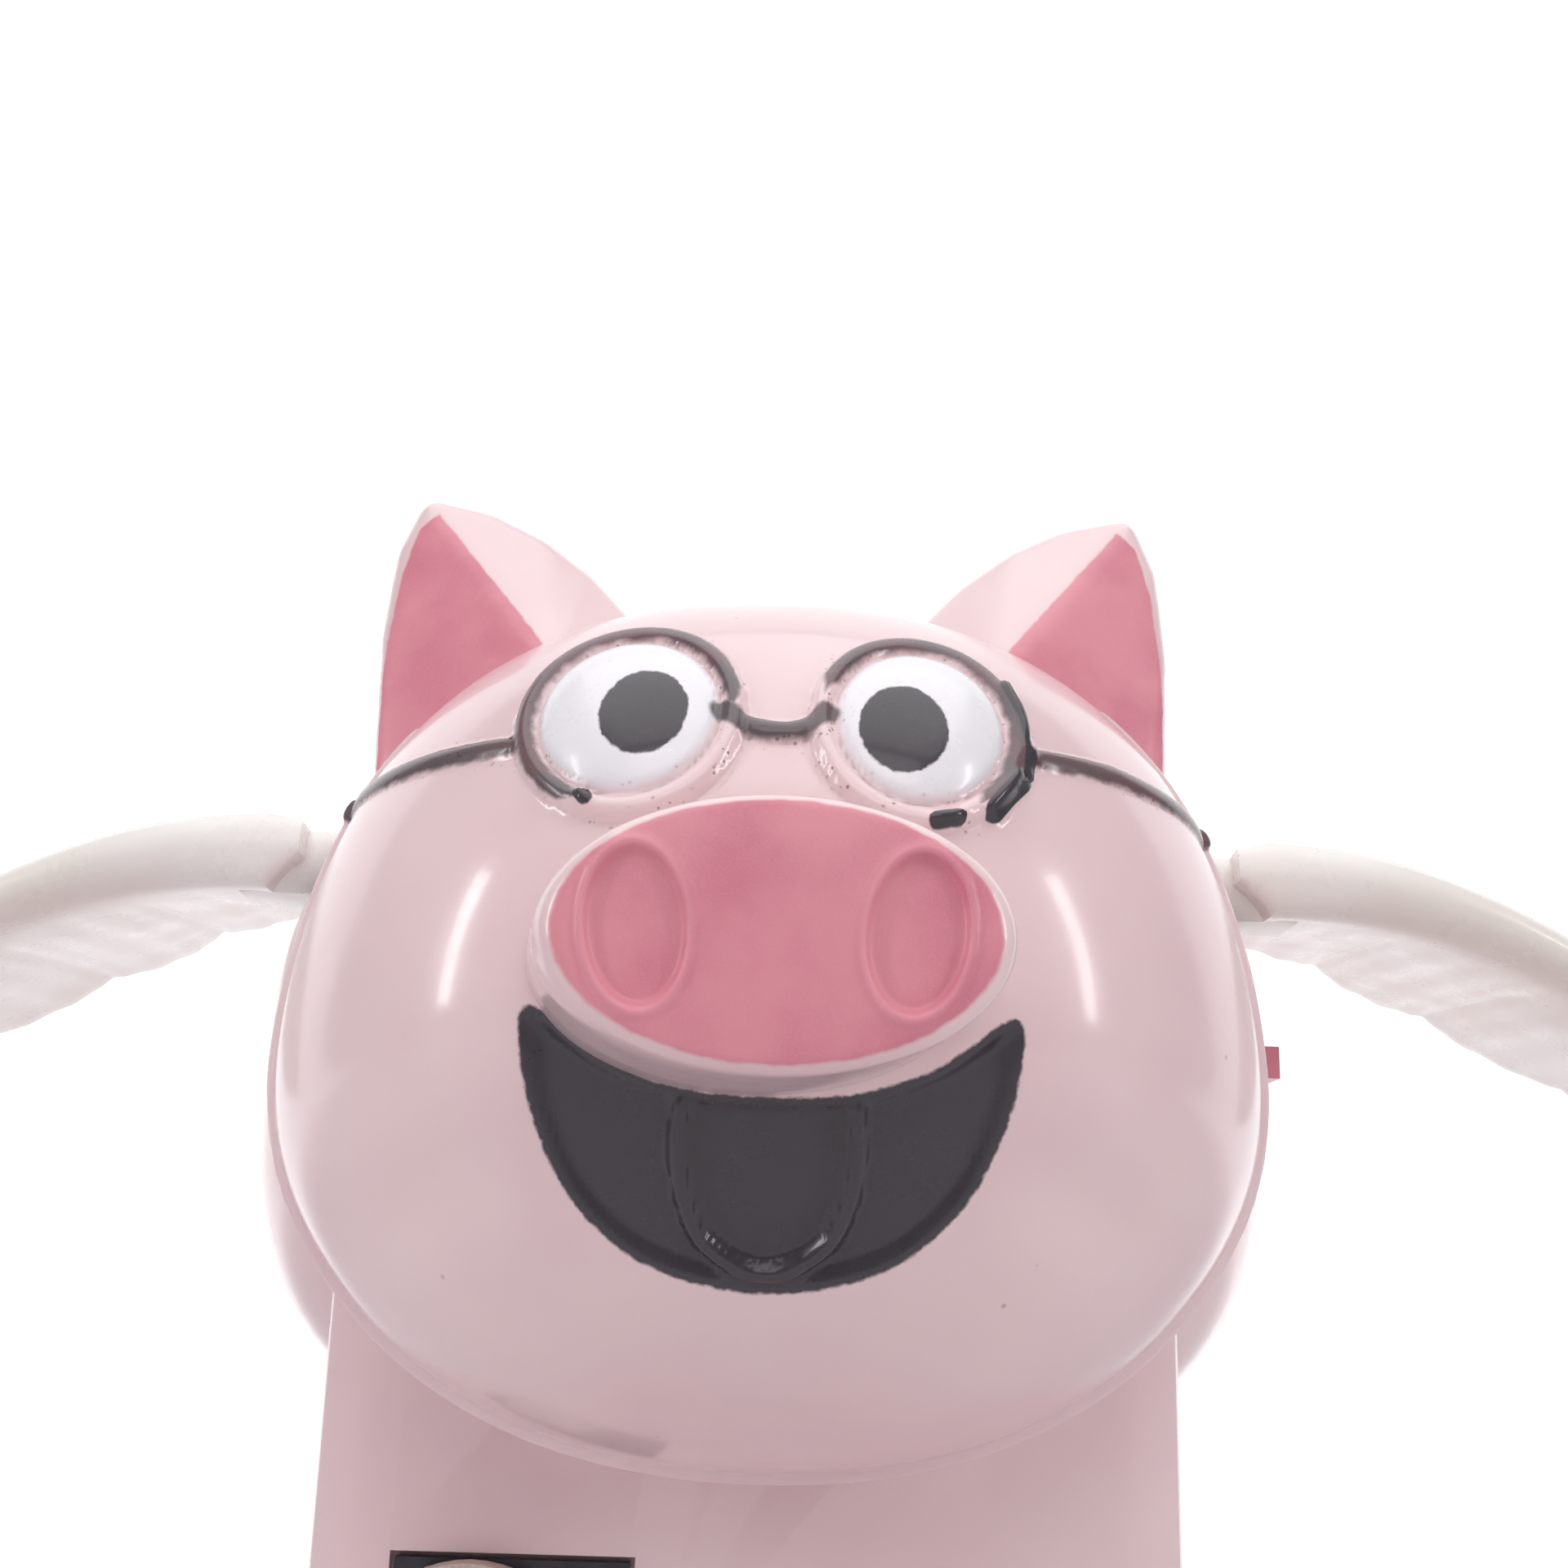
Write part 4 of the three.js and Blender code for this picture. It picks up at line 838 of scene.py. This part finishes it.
def build_foot(side):
    """A rounded trotter with a flat sole, a cleft between its two toes and a socket for its leg."""
    low, high, middle = box_mm(side + "_foot")
    leg_low, leg_high, _ = box_mm(side + "_leg")
    half = ((high[0] - low[0]) / 2, (high[1] - low[1]) / 2, high[2])
    form = Form((middle[0], middle[1], 0), half, FOOT_POWER)
    shoe = form_object(side + "_trotter", form, 0, 96, 64)
    places = read_vertices(shoe, "co") / MM
    across = (places[:, 0] - middle[0]) / TOE_CLEFT["width"]
    forward = smoothstep(low[1] + TOE_CLEFT["reach"], low[1], places[:, 1])
    pull = TOE_CLEFT["depth"] * np.exp(-across * across) * forward
    places[:, 1] += pull
    places[:, 2] -= 0.5 * pull
    shoe.data.vertices.foreach_set("co", (places * MM).ravel())
    above = block("above", (-OUTSIDE, -OUTSIDE, 0), (OUTSIDE, OUTSIDE, OUTSIDE))
    combine(shoe, "INTERSECT", above)
    socket = block("socket", leg_low - GAP, (leg_high[0] + GAP, leg_high[1] + GAP, 20))
    combine(shoe, "DIFFERENCE", socket)
    return finish_edges(shoe)


# -------- materials

class Nodes:
    """Short calls for building a material's node tree."""

    def __init__(self, name):
        self.material = bpy.data.materials.new(name)
        self.material.use_nodes = True
        self.tree = self.material.node_tree
        self.tree.nodes.clear()
        self.output = self.tree.nodes.new("ShaderNodeOutputMaterial")
        self.shader = self.tree.nodes.new("ShaderNodeBsdfPrincipled")
        self.link(self.shader.outputs[0], self.output.inputs[0])
        self.place = self.tree.nodes.new("ShaderNodeTexCoord").outputs["Object"]

    def link(self, source, target):
        self.tree.links.new(source, target)

    def feed(self, socket, value):
        """Links an output to a socket, or sets its value."""
        if isinstance(value, bpy.types.NodeSocket):
            self.link(value, socket)
        else:
            socket.default_value = value

    def noise(self, size_mm, detail=3.0, roughness=0.5, distortion=0.0):
        node = self.tree.nodes.new("ShaderNodeTexNoise")
        self.link(self.place, node.inputs["Vector"])
        node.inputs["Scale"].default_value = 1 / (size_mm * MM)
        node.inputs["Detail"].default_value = detail
        node.inputs["Roughness"].default_value = roughness
        node.inputs["Distortion"].default_value = distortion
        return node.outputs[0]

    def stretched_noise(self, sizes_mm, detail=2.0):
        """Noise drawn out along an axis, for brushed or scratched surfaces."""
        shape = self.tree.nodes.new("ShaderNodeMapping")
        shape.inputs["Scale"].default_value = [1 / (s * MM) for s in sizes_mm]
        self.link(self.place, shape.inputs["Vector"])
        node = self.tree.nodes.new("ShaderNodeTexNoise")
        node.inputs["Scale"].default_value = 1.0
        node.inputs["Detail"].default_value = detail
        self.link(shape.outputs[0], node.inputs["Vector"])
        return node.outputs[0]

    def specks(self, spacing_mm, radius):
        """One near-round spot in some of the cells of a grid: 1 in a speck, 0 elsewhere."""
        node = self.tree.nodes.new("ShaderNodeTexVoronoi")
        self.link(self.place, node.inputs["Vector"])
        node.inputs["Scale"].default_value = 1 / (spacing_mm * MM)
        return self.ramp(node.outputs["Distance"], radius, radius * 0.6)

    def math(self, operation, a, b=0.0, c=0.0):
        node = self.tree.nodes.new("ShaderNodeMath")
        node.operation = operation
        for socket, value in zip(node.inputs, (a, b, c)):
            self.feed(socket, value)
        return node.outputs[0]

    def times(self, a, b):
        return self.math("MULTIPLY", a, b)

    def plus(self, a, b):
        return self.math("ADD", a, b)

    def most(self, a, b):
        return self.math("MAXIMUM", a, b)

    def about_zero(self, value, amount):
        """Brings a 0 to 1 value to between plus and minus half of the amount."""
        return self.times(self.math("SUBTRACT", value, 0.5), amount)

    def ramp(self, value, start, end):
        """Goes from 0 at start to 1 at end, smoothly."""
        node = self.tree.nodes.new("ShaderNodeMapRange")
        node.interpolation_type = "SMOOTHSTEP"
        flipped = end < start
        self.feed(node.inputs["Value"], value)
        node.inputs["From Min"].default_value = min(start, end)
        node.inputs["From Max"].default_value = max(start, end)
        node.inputs["To Min"].default_value = 1.0 if flipped else 0.0
        node.inputs["To Max"].default_value = 0.0 if flipped else 1.0
        return node.outputs["Result"]

    def spread(self, value, low, high):
        """Maps a 0 to 1 value onto low to high."""
        node = self.tree.nodes.new("ShaderNodeMapRange")
        self.feed(node.inputs["Value"], value)
        node.inputs["To Min"].default_value = low
        node.inputs["To Max"].default_value = high
        return node.outputs["Result"]

    def mix(self, share, first, second):
        node = self.tree.nodes.new("ShaderNodeMix")
        node.data_type = "RGBA"
        self.feed(node.inputs["Factor"], share)
        self.feed(node.inputs["A"], first)
        self.feed(node.inputs["B"], second)
        return node.outputs["Result"]

    def attribute(self, name):
        node = self.tree.nodes.new("ShaderNodeAttribute")
        node.attribute_name = name
        return node.outputs["Fac"]

    def bump(self, height, depth_mm, strength=1.0):
        node = self.tree.nodes.new("ShaderNodeBump")
        node.inputs["Strength"].default_value = strength
        node.inputs["Distance"].default_value = depth_mm * MM
        self.link(height, node.inputs["Height"])
        self.link(node.outputs[0], self.shader.inputs["Normal"])

    def colour(self, value):
        self.feed(self.shader.inputs["Base Color"], value)

    def roughness(self, value):
        self.feed(self.shader.inputs["Roughness"], value)

    def set(self, **values):
        for name, value in values.items():
            self.shader.inputs[name.replace("_", " ")].default_value = value


def srgb(red, green, blue):
    """A linear colour from the usual 0 to 255 numbers."""
    def linear(value):
        value /= 255
        return value / 12.92 if value <= 0.04045 else ((value + 0.055) / 1.055) ** 2.4
    return (linear(red), linear(green), linear(blue), 1.0)


PINK = srgb(243, 216, 218)
PINK_DEEP = srgb(236, 206, 210)
PAINT_PINK = srgb(230, 148, 162)
PAINT_PINK_DEEP = srgb(216, 128, 146)
PAINT_BLACK = srgb(60, 55, 62)
PAINT_BROWN = srgb(88, 52, 60)
EYE_WHITE = srgb(244, 241, 246)
WING_WHITE = srgb(248, 244, 241)
WING_SHADE = srgb(240, 232, 225)


def moulded(n, light, deep, gloss=(0.16, 0.26)):
    """Glossy moulded plastic: slow colour drift, dust and handling smudges.

    Returns its colour and roughness.
    """
    drift = n.noise(14, 2)
    colour = n.mix(n.ramp(drift, 0.35, 0.7), light, deep)
    dust = n.times(n.specks(2.6, 0.055), n.ramp(n.noise(6, 2), 0.5, 0.62))
    colour = n.mix(n.times(dust, 0.45), colour, srgb(150, 110, 118))
    smudge = n.noise(5, 5, 0.65)
    return colour, n.spread(n.ramp(smudge, 0.3, 0.75), *gloss)


def peel(n, strength=0.5):
    """Fine unevenness of a moulded surface, with hairline scratches."""
    soft = n.noise(2.4, 2)
    scratch = n.ramp(n.stretched_noise((0.08, 1.6, 2.2), 3), 0.66, 0.74)
    fine = n.noise(0.12, 2)
    height = n.plus(soft, n.times(fine, 0.06))
    n.bump(n.math("SUBTRACT", height, n.times(scratch, 0.12)), 0.03, strength)


def set_plastic(n, coat=0.25):
    n.set(IOR=1.5, Subsurface_Weight=0.12, Subsurface_Scale=0.0015, Coat_Weight=coat, Coat_Roughness=0.08)
    n.shader.inputs["Subsurface Radius"].default_value = (1.0, 0.55, 0.5)


def pink_plastic():
    n = Nodes("pale_pink_plastic")
    colour, rough = moulded(n, PINK, PINK_DEEP)
    n.colour(colour)
    n.roughness(rough)
    peel(n)
    set_plastic(n)
    return n.material


def face_material():
    """The face: pink plastic with white eyes, black pupils and mouth, and hand-painted spectacles."""
    n = Nodes("painted_face")
    colour, rough = moulded(n, PINK, PINK_DEEP)
    ragged = n.about_zero(n.noise(0.9, 3, 0.5), 0.32)
    fine = n.about_zero(n.noise(0.35, 3, 0.5), 0.22)
    patch = n.noise(3.1, 2)

    lens = n.attribute("lens")
    eye_edge = n.plus(lens, n.times(ragged, 0.5))
    white = n.ramp(eye_edge, -0.95, -1.35)
    colour = n.mix(white, colour, EYE_WHITE)

    height = n.attribute("upness")
    rim = n.plus(n.math("ABSOLUTE", n.plus(lens, RIM_HALF_WIDTH)), ragged)
    covered = n.ramp(n.plus(height, n.about_zero(patch, 0.9)), -0.75, -0.2)
    worn = n.spread(covered, -0.55, 0.4)
    rims = n.ramp(n.math("SUBTRACT", rim, worn), 0.14, -0.12)
    bridge = n.ramp(n.plus(n.attribute("bridge"), ragged), 0.62, 0.32)
    temples = n.ramp(n.plus(n.attribute("temple"), ragged), 0.62, 0.38)
    lines = n.most(rims, n.most(bridge, temples))
    shade = n.mix(n.ramp(patch, 0.35, 0.65), PAINT_BROWN, PAINT_BLACK)
    colour = n.mix(n.times(lines, 0.9), colour, shade)

    pupil = n.ramp(n.plus(n.attribute("pupil"), fine), 0.06, -0.06)
    mouth = n.ramp(n.plus(n.attribute("mouth"), fine), 0.1, -0.05)
    blob = n.ramp(n.attribute("blob"), 0.05, -0.02)
    black = n.most(pupil, n.most(mouth, blob))
    colour = n.mix(black, colour, n.mix(n.noise(4, 3), PAINT_BLACK, srgb(66, 60, 68)))

    spray = n.times(n.specks(0.34, 0.3), n.ramp(n.attribute("mist"), 1.3, 0.1))
    spray = n.times(spray, n.ramp(n.noise(0.9, 2), 0.5, 0.62))
    colour = n.mix(n.times(spray, 0.75), colour, PAINT_BROWN)
    n.colour(colour)

    paint = n.most(lines, black)
    coated = n.most(paint, white)
    n.roughness(n.plus(rough, n.times(coated, n.spread(n.noise(1.2, 4), 0.0, 0.14))))
    soft = n.noise(2.4, 2)
    brush = n.times(n.noise(0.45, 3), n.times(paint, 0.6))
    n.bump(n.plus(n.plus(soft, brush), n.times(paint, 0.8)), 0.03, 0.6)
    set_plastic(n)
    return n.material


def painted_pink(name, edge=0.12, extra=None):
    """Pale plastic with a satin dark pink coat inside the kept paint edge."""
    n = Nodes(name)
    colour, rough = moulded(n, PINK, PINK_DEEP)
    ragged = n.about_zero(n.noise(0.8, 3, 0.5), 0.22)
    paint = n.ramp(n.plus(n.attribute("paint_edge"), ragged), edge, -edge)
    coat = n.mix(n.ramp(n.noise(5, 3), 0.35, 0.7), PAINT_PINK, PAINT_PINK_DEEP)
    grain = n.noise(0.09, 2)
    coat = n.mix(n.times(n.ramp(grain, 0.45, 0.75), 0.22), coat, srgb(238, 160, 176))
    if extra:
        coat = extra(n, coat)
    n.colour(n.mix(paint, colour, coat))
    n.roughness(n.mix(paint, rough, n.spread(n.noise(2, 4), 0.34, 0.46)))
    sandy = n.times(n.times(grain, paint), 0.35)
    n.bump(n.plus(n.noise(2.4, 2), sandy), 0.03, 0.6)
    set_plastic(n, 0.1)
    return n.material


def nostril_painted_highlight(n, coat):
    """Painted highlight: a lighter pink ring along the raised lip round each nostril, where light catches
    its edge.
    """
    nostril = n.attribute("nostril")
    # painted highlight: lighter pink mixed into the coat along the nostrils' lips
    edge = n.times(n.ramp(n.math("ABSOLUTE", n.math("SUBTRACT", nostril, 0.1)), 0.22, 0.02), 0.35)
    return n.mix(edge, coat, srgb(240, 160, 175))


def wing_material():
    """Off-white moulded plastic, slightly warm where it is thick."""
    n = Nodes("wing_plastic")
    colour, rough = moulded(n, WING_WHITE, WING_SHADE, (0.24, 0.36))
    n.colour(colour)
    n.roughness(rough)
    peel(n, 0.7)
    set_plastic(n, 0.15)
    return n.material


def cream_material():
    """Matt cream plastic of the switch knob, with a fine sandy grain."""
    n = Nodes("cream_plastic")
    grain = n.noise(0.22, 3, 0.7)
    colour = n.mix(n.ramp(grain, 0.35, 0.7), srgb(206, 188, 178), srgb(188, 168, 158))
    n.colour(n.mix(n.times(n.ramp(n.noise(1.3, 3), 0.5, 0.7), 0.3), colour, srgb(160, 140, 132)))
    n.roughness(n.spread(n.noise(1.5, 3), 0.42, 0.6))
    n.bump(grain, 0.05, 0.6)
    return n.material


def black_material():
    n = Nodes("black_plastic")
    n.colour(n.mix(n.ramp(n.noise(1.8, 4), 0.4, 0.7), srgb(44, 42, 50), srgb(58, 55, 64)))
    n.roughness(n.spread(n.noise(0.9, 4), 0.22, 0.4))
    n.bump(n.noise(0.3, 3), 0.02, 0.5)
    return n.material


def nylon_material():
    n = Nodes("nylon")
    n.colour(n.mix(n.ramp(n.noise(3, 3), 0.35, 0.7), srgb(236, 233, 224), srgb(222, 217, 204)))
    n.roughness(n.spread(n.noise(1.1, 4), 0.38, 0.55))
    n.bump(n.noise(0.35, 3), 0.02, 0.4)
    n.set(Subsurface_Weight=0.1, Subsurface_Scale=0.001)
    return n.material


def metal_material(name, light, dark, grain_axis):
    """Stamped sheet metal: fine grain along one axis, dull stains and bright scuffs."""
    n = Nodes(name)
    sizes = [0.12, 0.12, 0.12]
    sizes[grain_axis] = 2.5
    grain = n.stretched_noise(sizes, 3)
    stain = n.ramp(n.noise(4, 4), 0.45, 0.7)
    n.colour(n.mix(n.times(n.plus(grain, stain), 0.5), light, dark))
    n.roughness(n.spread(n.times(n.plus(grain, stain), 0.5), 0.22, 0.46))
    n.bump(grain, 0.015, 0.5)
    n.set(Metallic=1.0)
    return n.material


def key_material():
    """The winding key's dark pink plastic."""
    n = Nodes("key_plastic")
    colour, rough = moulded(n, PAINT_PINK, PAINT_PINK_DEEP, (0.28, 0.4))
    n.colour(colour)
    n.roughness(rough)
    peel(n, 0.7)
    set_plastic(n, 0.1)
    return n.material


def dress(item, material):
    item.data.materials.clear()
    item.data.materials.append(material)


SLOT_MATERIALS = {
    "pale_pink": pink_plastic(),
    "dark_pink": key_material(),
    "white_wing": wing_material(),
    "black_plastic": black_material(),
    "cream_plastic": cream_material(),
    "nylon": nylon_material(),
    "brass": metal_material("brass_sheet", srgb(214, 182, 104), srgb(176, 138, 66), 2),
    "steel": metal_material("steel_sheet", srgb(198, 200, 204), srgb(150, 152, 158), 1),
}


def dress_cad_nodes():
    """Every CAD node that stays gets its slot's material and smooth shading between its real edges."""
    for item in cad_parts.values():
        used = [m.name.split(".")[0] for m in item.data.materials if m]
        material = SLOT_MATERIALS.get(used[0]) if used else None
        if material is None:
            raise ValueError(f"{item.name} has no known material slot: {used}")
        dress(item, material)
        finish_edges(item, 25)


# -------- putting the toy together

def place(item, material, body, slot, *nodes):
    dress(item, material)
    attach(item, body)
    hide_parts(*nodes)


dress_cad_nodes()
place(build_face(), face_material(), "body", "pale_pink", "face_shell")
# The snout's coat carries a painted highlight round the nostrils.
place(build_snout(), painted_pink("painted_snout", 0.1, nostril_painted_highlight), "body", "dark_pink", "snout")
place(build_head_rear(), SLOT_MATERIALS["pale_pink"], "body", "pale_pink", "head_rear_shell")
ear_finish = painted_pink("painted_ear", 0.08)
for side_name in ("left", "right"):
    place(build_ear(side_name), ear_finish, "body", "pale_pink", side_name + "_ear")
    wing_body = side_name + "_wing"
    place(build_wing(side_name), SLOT_MATERIALS["white_wing"], wing_body, "white_wing", wing_body)
    foot_body = side_name + "_foot"
    place(build_foot(side_name), SLOT_MATERIALS["pale_pink"], foot_body, "pale_pink", foot_body)
body_front, body_rear = build_body()
place(body_front, SLOT_MATERIALS["pale_pink"], "body", "pale_pink", "body_front_shell")
place(body_rear, SLOT_MATERIALS["pale_pink"], "body", "pale_pink", "body_rear_shell")


# -------- stage, light and camera

CAMERA_PLACE = (0.7, -101.0, 54.0)
CAMERA_PITCH = 15.0
CAMERA_ROLL = 1.7
CAMERA_ANGLE = 45.0


def build_stage():
    """A pale floor that sweeps up into a backdrop behind the toy."""
    width, front, back, radius, height = 1500.0, -900.0, 700.0, 350.0, 1500.0
    ground = -0.05  # just under the feet, so the soles and the floor are not in one plane
    profile = [(front, ground), (back - radius, ground)]
    steps = 16
    for i in range(1, steps + 1):
        turn = math.pi / 2 * i / steps
        profile.append((back - radius + radius * math.sin(turn), ground + radius - radius * math.cos(turn)))
    profile.append((back, height))
    points = [(side * width, y, z) for y, z in profile for side in (-1, 1)]
    faces = [(2 * i, 2 * i + 1, 2 * i + 3, 2 * i + 2) for i in range(len(profile) - 1)]
    floor = make_object("floor", points, faces)
    n = Nodes("studio_paper")
    n.colour(n.mix(n.ramp(n.noise(60, 2), 0.3, 0.7), srgb(214, 212, 214), srgb(208, 206, 208)))
    n.roughness(0.9)
    depth = n.tree.nodes.new("ShaderNodeSeparateXYZ")
    n.link(n.place, depth.inputs[0])
    n.feed(n.shader.inputs["Emission Strength"], n.spread(n.ramp(depth.outputs["Y"], 0.08, 0.36), 0.0, 0.95))
    n.shader.inputs["Emission Color"].default_value = (1.0, 0.99, 1.0, 1.0)
    dress(floor, n.material)


def soft_box(name, place_mm, aim_mm, size_mm, watts):
    light = bpy.data.lights.new(name, "AREA")
    light.shape = "RECTANGLE"
    light.size, light.size_y = size_mm[0] * MM, size_mm[1] * MM
    light.energy = watts
    item = bpy.data.objects.new(name, light)
    item.location = Vector(place_mm) * MM
    away = Vector(aim_mm) - Vector(place_mm)
    item.rotation_euler = away.to_track_quat("-Z", "Y").to_euler()
    bpy.context.scene.collection.objects.link(item)


def build_light():
    """A large box overhead, a fill in front and a tall strip to each side, in dim even surroundings."""
    world = bpy.data.worlds.new("studio")
    bpy.context.scene.world = world
    world.use_nodes = True
    back = world.node_tree.nodes["Background"]
    back.inputs["Color"].default_value = (1.0, 0.985, 1.0, 1.0)
    back.inputs["Strength"].default_value = 0.2
    aim = (0, -10, 60)
    soft_box("overhead", (0, -60, 420), aim, (420, 420), 0.85)
    soft_box("front_fill", (0, -420, 330), aim, (420, 240), 0.54)
    soft_box("left_window", (-470, -230, 235), aim, (50, 300), 0.6)
    soft_box("right_window", (420, -230, 235), aim, (50, 300), 0.5)


def build_camera():
    data = bpy.data.cameras.new("camera")
    data.angle = math.radians(CAMERA_ANGLE)
    data.clip_start = 0.002
    item = bpy.data.objects.new("camera", data)
    pitch = Matrix.Rotation(math.radians(90 + CAMERA_PITCH), 4, "X")
    roll = Matrix.Rotation(math.radians(CAMERA_ROLL), 4, "Z")
    item.matrix_world = Matrix.Translation(Vector(CAMERA_PLACE) * MM) @ pitch @ roll
    bpy.context.scene.collection.objects.link(item)
    bpy.context.scene.camera = item


build_stage()
build_light()
build_camera()
bpy.context.scene.view_settings.view_transform = "Standard"
